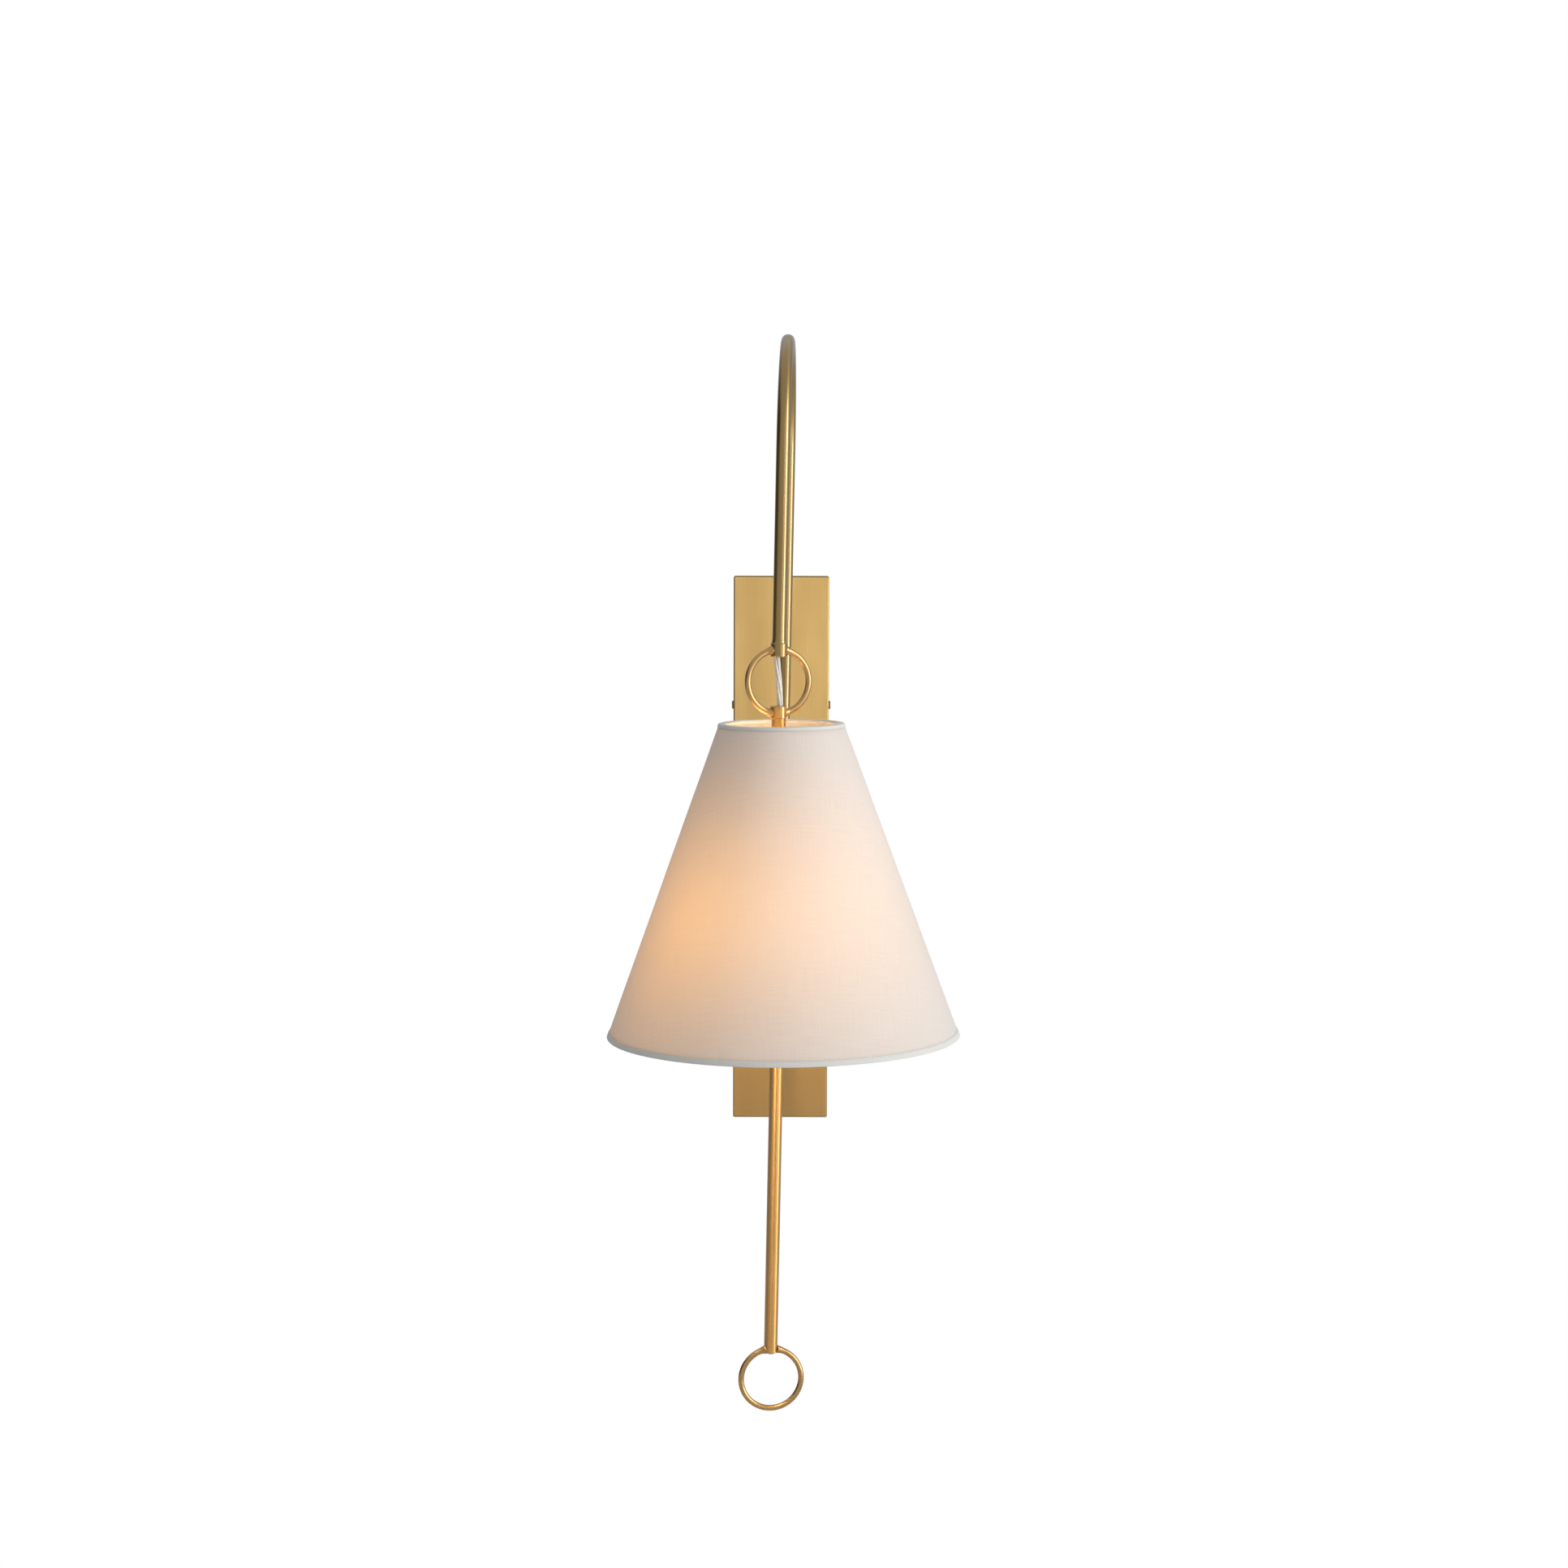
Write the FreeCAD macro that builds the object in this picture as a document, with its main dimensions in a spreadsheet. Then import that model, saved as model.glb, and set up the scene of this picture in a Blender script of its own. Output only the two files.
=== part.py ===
import FreeCAD, Part

import math
import os

import Sketcher
from FreeCAD import Placement, Rotation, Vector

# Swing arm wall sconce. Millimetres, +Z up. The origin is the middle of the back face on the wall,
# the wall is the plane y = 0 and the arm reaches out along -Y. Each part is drawn plumb in one of
# the frames WALL, BRACKET, ARM, STEM, SHADE and SWITCH, which carry the slight leans and turns.

DIMENSIONS = {
    "backplate": {
        "plate_width": 74.5, "plate_height": 428, "plate_depth": 19, "plate_wall": 1.5, "plate_edge": 1.3,
        "side_screw_height": 113, "side_screw_depth": 9.5, "side_screw_shank": 3.9, "side_screw_head": 6.6,
        "side_head_height": 1.4, "side_screw_reach": 7, "screw_clearance": 0.1,
    },
    "strap": {
        "strap_width": 50, "strap_height": 250, "strap_thick": 2, "ear_height": 22, "ear_depth": 14,
        "ear_gap": 0.3, "slot_spacing": 79.4, "slot_length": 20, "slot_width": 4.6, "strap_bore": 24,
        "ground_across": 16, "ground_height": -26, "ground_shank": 4, "ground_head": 8,
        "ground_head_height": 2.6,
    },
    "bracket": {
        "standoff": 50, "sleeve_diameter": 25.6, "sleeve_height": 40, "sleeve_bore": 15,
        "neck_diameter": 14, "flange_diameter": 29, "flange_thick": 4, "groove_radius": 10.2,
        "groove_width": 2.8, "groove_depth": 3, "swing_limit": 55, "bush_length": 12, "bush_flange": 16.4,
        "bush_flange_thick": 1, "running_clearance": 0.05, "thrust_gap": 0.3, "bracket_edge": 1,
        "nipple_diameter": 9.7, "nipple_bore": 6.6, "nipple_grip": 14, "nipple_edge": 0.4,
        "nipple_spare": 0.5, "nut_across": 16, "nut_thick": 5,
        "washer_diameter": 22, "washer_thick": 1.2, "stiffener_width": 60, "stiffener_height": 90,
        "stiffener_thick": 3,
    },
    "stop_collars": {
        "upper_collar_height": 8, "lower_collar_height": 7, "lower_collar_diameter": 18, "pin_diameter": 2,
        "pin_gap": 0.5, "pin_grip": 5, "set_screw_diameter": 4, "set_screw_sink": 0.6,
    },
    "arm": {
        "arm_lean": 0.99, "arm_swing": -1.68, "tube_diameter": 9.8, "tube_bore": 7.2, "arm_reach": 160,
        "arch_top": 393.8, "tube_end": -32, "rod_diameter": 10.6, "rod_tip": -396.8, "rod_dome": 2.2,
        "spigot_length": 12, "cord_slot_height": 10, "cord_slot_start": 1.35,
    },
    "rings": {
        "pull_ring_height": -416.4, "pull_ring_diameter": 52.2, "pull_ring_shift": 0.8,
        "link_height": 142.7, "link_ring_diameter": 50.4, "ring_wire": 4.5, "pull_ring_turn": 10.5,
        "link_ring_turn": 20.5, "braze_diameter": 7.2, "braze_beside": 0.6,
        "upper_link_collar_diameter": 12, "upper_link_collar_low": 160.5,
        "upper_link_collar_high": 170.3, "link_seat": 2.5, "lower_link_collar_diameter": 11.8,
        "lower_link_collar_low": 116.2, "lower_link_collar_high": 125.2, "collar_edge": 0.5,
    },
    "shade": {
        "shade_tilt": 1.49, "shade_shift": 2, "shade_top": 112.6, "shade_bottom": -112.8,
        "shade_top_radius": 44.8, "shade_bottom_radius": 127, "linen_thick": 0.8, "liner_thick": 0.8,
        "top_wire": 2.4, "bottom_wire": 2.8, "wire_play": 0.12, "hem_thick": 0.5, "top_hem_height": 3,
        "bottom_hem_height": 5.5, "hub_height": 97.7, "hub_thick": 2, "hub_diameter": 24,
        "spider_wire": 2.8, "weld_sink": 1, "hub_bore": 9.7, "fitter_nut_across": 15,
        "fitter_nut_thick": 4.5, "stem_diameter": 10.4, "stem_thread": 9.6, "stem_low": 92,
    },
    "socket": {
        "cap_low": 83, "cap_shoulder": 91, "cap_neck": 18, "cap_wall": 0.8, "shell_diameter": 33,
        "shell_wall": 0.8, "shell_low": 46, "sleeve_wall": 0.7, "sleeve_low": 47.5, "insert_high": 88,
        "insert_low": 71, "insert_diameter": 28.6, "cord_hole": 8, "screw_shell_diameter": 27.6,
        "screw_shell_wall": 0.3, "screw_shell_low": 48.5, "contact_thick": 0.8, "contact_width": 7,
        "contact_length": 16,
    },
    "switch": {
        "switch_height": 77, "switch_shaft_diameter": 3, "switch_shaft_start": 11.5, "switch_bushing": 6,
        "switch_bushing_head": 9, "bushing_head_thick": 1.5, "bushing_head_gap": 0.1, "bushing_grip": 2.2,
        "knob_diameter": 10, "knob_length": 9, "knob_gap": 0.6, "knob_bore_depth": 6, "knob_edge": 0.8,
        "knob_flute": 1.6, "switch_recess": 6, "switch_recess_depth": 5,
    },
    "bulb": {
        "bulb_radius": 30, "bulb_centre": -9, "bulb_shoulder": 35, "bulb_waist": 64, "bulb_neck": 24.4,
        "bulb_wall": 0.8, "bulb_neck_high": 52, "bulb_base_low": 45.2, "bulb_base_high": 63,
        "bulb_base_diameter": 26.4, "bulb_base_wall": 0.4, "bulb_contact_diameter": 9,
        "bulb_contact_high": 70.2, "bulb_contact_edge": 1, "mount_diameter": 10,
        "mount_low": 18, "filament_diameter": 1.6,
        "filament_radius": 7, "filament_length": 30,
    },
    "wiring": {
        "cord_diameter": 4.4, "cord_offset": 1.1, "cord_gap": 1.5, "lead_diameter": 2.2,
        "nut_cap_diameter": 11, "nut_cap_skirt": 5, "nut_cap_tip": 7, "nut_cap_length": 18,
        "nut_cap_height": 52, "nut_cap_across": 12, "nut_cap_depth": 9.5,
    },
}

# Points of hidden and slack wires. The cord through the link ring: share of cord_offset towards -X
# and height on the arm. The leads: across, as a share of nut_cap_across, depth and height.
# The ground lead: across, depth and height from its screw's head.
LINK_CORD_ROUTE = ((0.9, 201), (1.15, 173), (1.1, 159), (0.1, 148), (-0.9, 135), (-1.15, 121), (-1.1, 109))
LEAD_ROUTE = ((0.1, -8.3, 0), (0.1, -4, 0), (0.2, -4, 14), (0.8, -5, 30), (1, -9.5, 42), (1, -9.5, 52))
GROUND_ROUTE = ((0, 0, 0), (0, -5, 0), (-4, -5, -12), (-8, -5, -18))

LEAD_BEND = 7
CORD_BEND = 60
BULB_FILAMENTS = 4
SPIDER_ARMS = 3
KNOB_FLUTES = 12
HEX_SIDES = 6
TOLERANCE = 1e-3

document = FreeCAD.newDocument("SwingArmWallSconce")


class Size:
    """A length or an angle, together with the spreadsheet formula that gives it."""

    def __init__(self, value, formula):
        self.value = value
        self.formula = formula

    def combined(self, sign, other, value):
        return Size(value, "({} {} {})".format(self.formula, sign, sized(other).formula))

    def __add__(self, other):
        return self.combined("+", other, self.value + sized(other).value)

    def __sub__(self, other):
        return self.combined("-", other, self.value - sized(other).value)

    def __mul__(self, other):
        return self.combined("*", other, self.value * sized(other).value)

    def __truediv__(self, other):
        return self.combined("/", other, self.value / sized(other).value)

    def __neg__(self):
        return Size(-self.value, "(-1 * {})".format(self.formula))


def sized(number):
    """A plain number as a Size, so that formulas can mix both."""
    return number if isinstance(number, Size) else Size(number, repr(number))


def cosine(angle):
    return Size(math.cos(math.radians(angle.value)), "cos({} * 1 deg)".format(angle.formula))


def sine(angle):
    return Size(math.sin(math.radians(angle.value)), "sin({} * 1 deg)".format(angle.formula))


def fill_sheet():
    """Write every driving dimension to the sheet and return it by name as a Size."""
    sheet = document.addObject("Spreadsheet::Sheet", "Dims")
    sizes = {}
    row = 1
    for section, dimensions in DIMENSIONS.items():
        sheet.set("A{}".format(row), section)
        row += 1
        for alias, value in dimensions.items():
            sheet.set("A{}".format(row), alias)
            sheet.set("B{}".format(row), str(value))
            sheet.setAlias("B{}".format(row), alias)
            sizes[alias] = Size(float(value), "Dims.{}".format(alias))
            row += 1
    document.recompute()
    return sizes


DIM = fill_sheet()
ZERO = sized(0)
TUBE_RADIUS = DIM["tube_diameter"] / 2
ARCH_RADIUS = DIM["arm_reach"] / 2
ARCH_CENTRE = DIM["arch_top"] - TUBE_RADIUS - ARCH_RADIUS
STANDOFF = DIM["standoff"].value
REACH = DIM["arm_reach"].value
LINK = DIM["link_height"].value


def moved(x=0.0, y=0.0, z=0.0):
    return Placement(Vector(x, y, z), Rotation())


def turned_about(axis, degrees):
    return Placement(Vector(), Rotation(axis, degrees))


ACROSS = Vector(1, 0, 0)
OUTWARD = Vector(0, 1, 0)
UP = Vector(0, 0, 1)
WALL = Placement()
BRACKET = turned_about(OUTWARD, DIM["arm_lean"].value) * moved(y=-STANDOFF)
ARM = BRACKET * turned_about(UP, DIM["arm_swing"].value)
LINK_TILT = moved(y=-REACH, z=LINK) * turned_about(OUTWARD, -DIM["shade_tilt"].value)
STEM = ARM * LINK_TILT * moved(z=-LINK)
SHADE = STEM * moved(x=DIM["shade_shift"].value)
SWITCH = STEM * moved(z=DIM["switch_height"].value) * turned_about(OUTWARD, 90)
sub_parts = []


# ---- sketches and features -------------------------------------------------------------------

def new_body(label, frame):
    """An empty body in its frame, listed as a sub-part of the sconce."""
    body = document.addObject("PartDesign::Body", label)
    body.Label = label
    body.Placement = frame
    sub_parts.append(body)
    return body


def new_sketch(body, plane, offset=ZERO):
    """A sketch on one of the body's own origin planes, lifted by offset along the plane's normal."""
    sketch = body.newObject("Sketcher::SketchObject", body.Label + "_sketch")
    support = next(item for item in body.Origin.OriginFeatures if item.Role == plane + "_Plane")
    sketch.AttachmentSupport = (support, [""])
    sketch.MapMode = "FlatFace"
    if offset.value:
        sketch.AttachmentOffset = Placement(Vector(0, 0, offset.value), Rotation())
        sketch.setExpression("AttachmentOffset.Base.z", offset.formula)
    return sketch


def bind(sketch, constraint, size):
    index = sketch.addConstraint(constraint)
    sketch.setExpression("Constraints[{}]".format(index), size.formula)


def pin(sketch, geometry, point, x, y):
    """Hold one point of the sketch at x and y from its origin."""
    for kind, size, axis in (("DistanceX", x, -2), ("DistanceY", y, -1)):
        if size.value == 0:
            sketch.addConstraint(Sketcher.Constraint("PointOnObject", geometry, point, axis))
        else:
            bind(sketch, Sketcher.Constraint(kind, -1, 1, geometry, point, size.value), size)


def draw_circle(sketch, diameter, x=ZERO, y=ZERO):
    radius = diameter / 2
    geometry = sketch.addGeometry(Part.Circle(Vector(x.value, y.value, 0), Vector(0, 0, 1), radius.value))
    bind(sketch, Sketcher.Constraint("Radius", geometry, radius.value), radius)
    pin(sketch, geometry, 3, x, y)


def arc_between(start, end, radius, side):
    """An anticlockwise arc between two points, bulging to the right (1) or left (-1) of the way."""
    along = end - start
    right = Vector(along.y, -along.x, 0).normalize() * side
    centre = (start + end) * 0.5 - right * math.sqrt(radius ** 2 - (along.Length / 2) ** 2)
    first, last = (start, end) if side > 0 else (end, start)
    angles = [math.atan2(point.y - centre.y, point.x - centre.x) for point in (first, last)]
    return Part.ArcOfCircle(Part.Circle(centre, Vector(0, 0, 1), radius), *angles)


def draw_outline(sketch, corners):
    """A closed outline. A corner is (x, y), or (x, y, radius, side) where an arc leads to the next."""
    first = sketch.GeometryCount
    places = [Vector(corner[0].value, corner[1].value, 0) for corner in corners]
    for index, corner in enumerate(corners):
        start = places[index]
        end = places[(index + 1) % len(corners)]
        if len(corner) == 2:
            sketch.addGeometry(Part.LineSegment(start, end))
        else:
            sketch.addGeometry(arc_between(start, end, corner[2].value, corner[3]))
    ends = [end_points(corner) for corner in corners]
    for index, corner in enumerate(corners):
        edge = first + index
        following = (index + 1) % len(corners)
        sketch.addConstraint(Sketcher.Constraint(
            "Coincident", edge, ends[index][1], first + following, ends[following][0]))
        pin(sketch, edge, ends[index][0], corner[0], corner[1])
        if len(corner) > 2:
            bind(sketch, Sketcher.Constraint("Radius", edge, corner[2].value), corner[2])


def end_points(corner):
    """The sketch's numbers for an edge's first and last points along the outline."""
    clockwise = len(corner) > 2 and corner[3] < 0
    return (2, 1) if clockwise else (1, 2)


def draw_rectangle(sketch, width, height, x=ZERO, y=ZERO):
    draw_outline(sketch, [
        (x - width / 2, y - height / 2), (x + width / 2, y - height / 2),
        (x + width / 2, y + height / 2), (x - width / 2, y + height / 2)])


def draw_hexagon(sketch, across):
    radius = across / 2 / cosine(sized(180 / HEX_SIDES))
    angles = [sized(360 / HEX_SIDES * side) for side in range(HEX_SIDES)]
    draw_outline(sketch, [(radius * cosine(angle), radius * sine(angle)) for angle in angles])


def pad(body, sketch, length, backwards=False):
    feature = body.newObject("PartDesign::Pad", body.Label + "_pad")
    feature.Profile = sketch
    feature.Length = length.value
    feature.setExpression("Length", length.formula)
    feature.Reversed = backwards
    return feature


def cut(body, kind, set_up):
    """Add a cutting feature and make sure that it takes material away."""
    document.recompute()
    before = body.Shape.Volume
    feature = body.newObject("PartDesign::" + kind, body.Label + "_cut")
    set_up(feature)
    document.recompute()
    if not body.Shape.Volume < before:
        raise RuntimeError("{} cuts nothing in {}".format(kind, body.Label))
    return feature


def pocket(body, sketch, length, backwards=False, both_ways=False):
    def set_up(feature):
        feature.Profile = sketch
        feature.Length = length.value
        feature.setExpression("Length", length.formula)
        feature.Reversed = backwards
        feature.Midplane = both_ways
    return cut(body, "Pocket", set_up)


def groove(body, sketch, angle):
    def set_up(feature):
        feature.Profile = sketch
        feature.ReferenceAxis = (sketch, ["V_Axis"])
        feature.Angle = angle.value
        feature.setExpression("Angle", angle.formula)
        feature.Midplane = True
    return cut(body, "Groove", set_up)


def dress(body, kind, size, wanted):
    """Fillet or chamfer the edges of the body's tip whose mid point passes the test."""
    document.recompute()
    base = body.Tip
    names = []
    for number, edge in enumerate(base.Shape.Edges, 1):
        middle = edge.valueAt((edge.FirstParameter + edge.LastParameter) / 2)
        if wanted(edge, middle):
            names.append("Edge{}".format(number))
    feature = body.newObject("PartDesign::" + kind, body.Label + "_" + kind.lower())
    feature.Base = (base, names)
    field = "Radius" if kind == "Fillet" else "Size"
    setattr(feature, field, size.value)
    feature.setExpression(field, size.formula)
    document.recompute()


def turned(label, corners, frame):
    """A round part turned about its Z axis from an outline of radius against height."""
    body = new_body(label, frame)
    sketch = new_sketch(body, "XZ")
    draw_outline(sketch, corners)
    revolution = body.newObject("PartDesign::Revolution", label + "_turned")
    revolution.Profile = sketch
    revolution.ReferenceAxis = (sketch, ["V_Axis"])
    revolution.Angle = 360
    return body


def tube_outline(bore, diameter, low, high):
    return [(bore / 2, low), (diameter / 2, low), (diameter / 2, high), (bore / 2, high)]


def rod_outline(diameter, low, high):
    return tube_outline(ZERO, diameter, low, high)


def bevelled_tube_outline(bore, diameter, low, high, bevel):
    """A tube whose two outer rims are bevelled."""
    inner = bore / 2
    outer = diameter / 2
    return [
        (inner, low), (outer - bevel, low), (outer, low + bevel), (outer, high - bevel),
        (outer - bevel, high), (inner, high)]


# ---- parts from primitives, and parts with free shapes -------------------------------------------

def primitive(kind, sizes, placement=None):
    """A Part primitive whose properties follow the sheet."""
    shape = document.addObject("Part::" + kind, kind)
    for name, size in sizes.items():
        setattr(shape, name, size.value)
        shape.setExpression(name, size.formula)
    if placement is not None:
        shape.Placement = placement
    return shape


def fused(pieces):
    union = document.addObject("Part::MultiFuse", "Fuse")
    union.Refine = False
    union.Shapes = pieces
    return union


def cut_from(base, tool):
    difference = document.addObject("Part::Cut", "Cut")
    difference.Base = base
    difference.Tool = tool
    return difference


def as_sub_part(feature, label, frame):
    feature.Label = label
    feature.Placement = frame
    sub_parts.append(feature)
    return feature


def shaped(label, shape, frame=WALL):
    """A sub-part whose shape is worked out here, for routes and groups that no feature makes."""
    feature = document.addObject("Part::Feature", label)
    feature.Label = label
    feature.Shape = shape
    feature.Placement = frame
    sub_parts.append(feature)
    return feature


def group_of(label, pattern, placements):
    """Copies of one body as separate solids of a single sub-part. The pattern itself isn't kept."""
    document.recompute()
    sub_parts.remove(pattern)
    solid = pattern.Shape
    solids = []
    for placement in placements:
        copy = solid.copy()
        copy.Placement = placement
        solids.append(copy)
    return shaped(label, Part.makeCompound(solids))


def rounded_wire(points, radius):
    """Straight runs joined by tangent arcs, no larger than the runs allow."""
    edges = []
    start = points[0]
    for index in range(1, len(points) - 1):
        corner = points[index]
        before = (points[index - 1] - corner)
        after = (points[index + 1] - corner)
        half_turn = (math.pi - before.getAngle(after)) / 2
        room = 0.45 * min(before.Length, after.Length)
        setback = min(room, radius * math.tan(half_turn))
        bend = setback / math.tan(half_turn)
        first = corner + before.normalize() * setback
        last = corner + after.normalize() * setback
        toward = (first + last) * 0.5 - corner
        rise = bend / math.cos(half_turn) - bend
        edges.append(Part.LineSegment(start, first).toShape())
        edges.append(Part.Arc(first, corner + toward.normalize() * rise, last).toShape())
        start = last
    edges.append(Part.LineSegment(start, points[-1]).toShape())
    return Part.Wire(edges)


def swept(path, diameter):
    """A round solid along a path, checked against its section times its length."""
    first = path.Edges[0]
    heading = first.tangentAt(first.FirstParameter)
    rim = Part.Edge(Part.Circle(first.valueAt(first.FirstParameter), heading, diameter.value / 2))
    solid = path.makePipeShell([Part.Wire(rim)], True, True)
    expected = math.pi * diameter.value ** 2 / 4 * path.Length
    if abs(solid.Volume / expected - 1) > 0.01:
        raise RuntimeError("a sweep has the wrong volume")
    return solid


# ---- wall side ---------------------------------------------------------------------------------

def make_backplate_cover():
    """A pan with its open side on the wall."""
    width, height, depth = DIM["plate_width"], DIM["plate_height"], DIM["plate_depth"]
    wall = DIM["plate_wall"]
    body = new_body("backplate_cover", WALL)
    outside = new_sketch(body, "XZ")
    draw_rectangle(outside, width, height)
    pad(body, outside, depth)

    def is_outer_edge(edge, middle):
        return middle.y < -TOLERANCE
    dress(body, "Fillet", DIM["plate_edge"], is_outer_edge)
    inside = new_sketch(body, "XZ")
    draw_rectangle(inside, width - wall * 2, height - wall * 2)
    pocket(body, inside, depth - wall, backwards=True)
    nipple_hole = new_sketch(body, "XZ")
    draw_circle(nipple_hole, DIM["nipple_diameter"] + DIM["screw_clearance"] * 2)
    pocket(body, nipple_hole, depth * 2, backwards=True)
    drill_side_holes(body, width)


def drill_side_holes(body, width):
    """Four holes for the side screws, bored straight across."""
    sketch = new_sketch(body, "YZ")
    hole = DIM["side_screw_shank"] + DIM["screw_clearance"]
    for height in (DIM["side_screw_height"], -DIM["side_screw_height"]):
        draw_circle(sketch, hole, -DIM["side_screw_depth"], height)
    pocket(body, sketch, width * 2, both_ways=True)


def make_side_cap_screws():
    shank = DIM["side_screw_shank"] / 2
    head = DIM["side_screw_head"] / 2
    crown = DIM["side_head_height"]
    pattern = turned("side_screw_pattern", [
        (ZERO, -DIM["side_screw_reach"]), (shank, -DIM["side_screw_reach"]), (shank, ZERO), (head, ZERO),
        (head, crown * 0.6), (head - crown * 0.4, crown), (ZERO, crown)], WALL)
    across = DIM["plate_width"].value / 2
    depth = -DIM["side_screw_depth"].value
    placements = []
    for side in (1, -1):
        for height in (DIM["side_screw_height"].value, -DIM["side_screw_height"].value):
            placements.append(moved(side * across, depth, height) * turned_about(OUTWARD, 90 * side))
    group_of("side_cap_screws", pattern, placements)


def make_mounting_strap():
    """Steel strap on the wall box, with two pairs of ears that take the side screws."""
    span = DIM["plate_width"] - DIM["plate_wall"] * 2 - DIM["ear_gap"] * 2
    thick = DIM["strap_thick"]
    ear_x = span / 2 - thick / 2
    body = new_body("mounting_strap", WALL)
    spine = new_sketch(body, "XZ")
    draw_rectangle(spine, DIM["strap_width"], DIM["strap_height"])
    pad(body, spine, thick)
    for height in (DIM["side_screw_height"], -DIM["side_screw_height"]):
        cross = new_sketch(body, "XZ")
        draw_rectangle(cross, span, DIM["ear_height"], ZERO, height)
        pad(body, cross, thick)
        ears = new_sketch(body, "XZ")
        draw_rectangle(ears, thick, DIM["ear_height"], ear_x, height)
        draw_rectangle(ears, thick, DIM["ear_height"], -ear_x, height)
        pad(body, ears, DIM["ear_depth"])
    centre_hole = new_sketch(body, "XZ")
    draw_circle(centre_hole, DIM["strap_bore"])
    draw_circle(centre_hole, DIM["ground_shank"] + DIM["screw_clearance"], DIM["ground_across"],
                DIM["ground_height"])
    pocket(body, centre_hole, thick * 2, backwards=True)
    for side in (1, -1):
        slot = new_sketch(body, "XZ")
        draw_slot(slot, DIM["slot_width"], DIM["slot_length"], DIM["slot_spacing"] / 2 * side)
        pocket(body, slot, thick * 2, backwards=True)
    drill_side_holes(body, DIM["plate_width"])


def draw_slot(sketch, width, length, height):
    """An upright slot with round ends."""
    radius = width / 2
    straight = (length - width) / 2
    draw_outline(sketch, [
        (radius, height - straight), (radius, height + straight, radius * 1.0001, 1),
        (-radius, height + straight), (-radius, height - straight, radius * 1.0001, 1)])


def make_ground_screw():
    head = DIM["ground_head"] / 2
    shank = DIM["ground_shank"] / 2
    crown = DIM["ground_head_height"]
    thick = DIM["strap_thick"]
    frame = moved(x=DIM["ground_across"].value, z=DIM["ground_height"].value) * turned_about(ACROSS, 90)
    body = turned("ground_screw", [
        (ZERO, ZERO), (shank, ZERO), (shank, thick), (head, thick), (head, thick + crown * 0.7),
        (head - crown * 0.3, thick + crown), (ZERO, thick + crown)], frame)
    slit = new_sketch(body, "XY", thick + crown)
    draw_rectangle(slit, DIM["ground_head"] * 2, crown / 2)
    pocket(body, slit, crown / 2)


def make_stiffener_plate():
    front = DIM["plate_depth"] - DIM["plate_wall"]
    body = new_body("stiffener_plate", WALL)
    sketch = new_sketch(body, "XZ", front - DIM["stiffener_thick"])
    draw_rectangle(sketch, DIM["stiffener_width"], DIM["stiffener_height"])
    pad(body, sketch, DIM["stiffener_thick"])
    hole = new_sketch(body, "XZ")
    draw_circle(hole, DIM["nipple_diameter"] + DIM["screw_clearance"] * 2)
    pocket(body, hole, front * 2, backwards=True)


def make_bracket_fasteners():
    """Nipple, washer and nut on one level axis, drawn from the wall (height 0) outwards."""
    frame = turned_about(ACROSS, 90)
    nipple = DIM["nipple_diameter"]
    loose = nipple + DIM["screw_clearance"] * 2
    stiffener_back = DIM["plate_depth"] - DIM["plate_wall"] - DIM["stiffener_thick"]
    washer_back = stiffener_back - DIM["washer_thick"]
    nut_back = washer_back - DIM["nut_thick"]
    turned("bracket_nipple", bevelled_tube_outline(
        DIM["nipple_bore"], nipple, nut_back - DIM["nipple_spare"],
        DIM["plate_depth"] + DIM["nipple_grip"], DIM["nipple_edge"]), frame)
    turned("bracket_washer", tube_outline(
        loose, DIM["washer_diameter"], washer_back, stiffener_back), frame)
    make_nut("bracket_nut", DIM["nut_across"], nipple, nut_back, DIM["nut_thick"], frame)


def make_nut(label, across, bore, low, thick, frame):
    body = new_body(label, frame)
    sketch = new_sketch(body, "XY", low)
    draw_hexagon(sketch, across)
    pad(body, sketch, thick)
    hole = new_sketch(body, "XY", low)
    draw_circle(hole, bore)
    pocket(body, hole, thick * 2, backwards=True)


def make_swivel_bracket():
    """Sleeve round the rod, on a neck with a flange against the plate."""
    half = DIM["sleeve_height"] / 2
    neck_end = DIM["standoff"] - DIM["plate_depth"]
    body = turned("swivel_bracket", bevelled_tube_outline(
        ZERO, DIM["sleeve_diameter"], -half, half, DIM["bracket_edge"]), BRACKET)
    neck = new_sketch(body, "XZ")
    draw_circle(neck, DIM["neck_diameter"])
    pad(body, neck, neck_end, backwards=True)
    flange = new_sketch(body, "XZ", DIM["flange_thick"] - neck_end)
    draw_circle(flange, DIM["flange_diameter"])
    pad(body, flange, DIM["flange_thick"], backwards=True)
    flange_face = (neck_end - DIM["flange_thick"]).value
    neck_rim = math.pi * DIM["neck_diameter"].value

    def is_flange_rim(edge, middle):
        return abs(middle.y - flange_face) < TOLERANCE and edge.Length > neck_rim + TOLERANCE
    dress(body, "Fillet", DIM["bracket_edge"], is_flange_rim)
    bore = new_sketch(body, "XY", -half)
    draw_circle(bore, DIM["sleeve_bore"])
    pocket(body, bore, DIM["sleeve_height"] * 2, backwards=True)
    cord_way = new_sketch(body, "XZ")
    draw_circle(cord_way, DIM["nipple_bore"])
    pocket(body, cord_way, neck_end * 2)
    nipple_seat = new_sketch(body, "XZ", DIM["nipple_grip"] - neck_end)
    draw_circle(nipple_seat, DIM["nipple_diameter"])
    pocket(body, nipple_seat, neck_end)
    stop = new_sketch(body, "YZ")
    draw_rectangle(stop, DIM["groove_width"], DIM["groove_depth"] * 2, -DIM["groove_radius"], half)
    groove(body, stop, stop_groove_angle())


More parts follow.
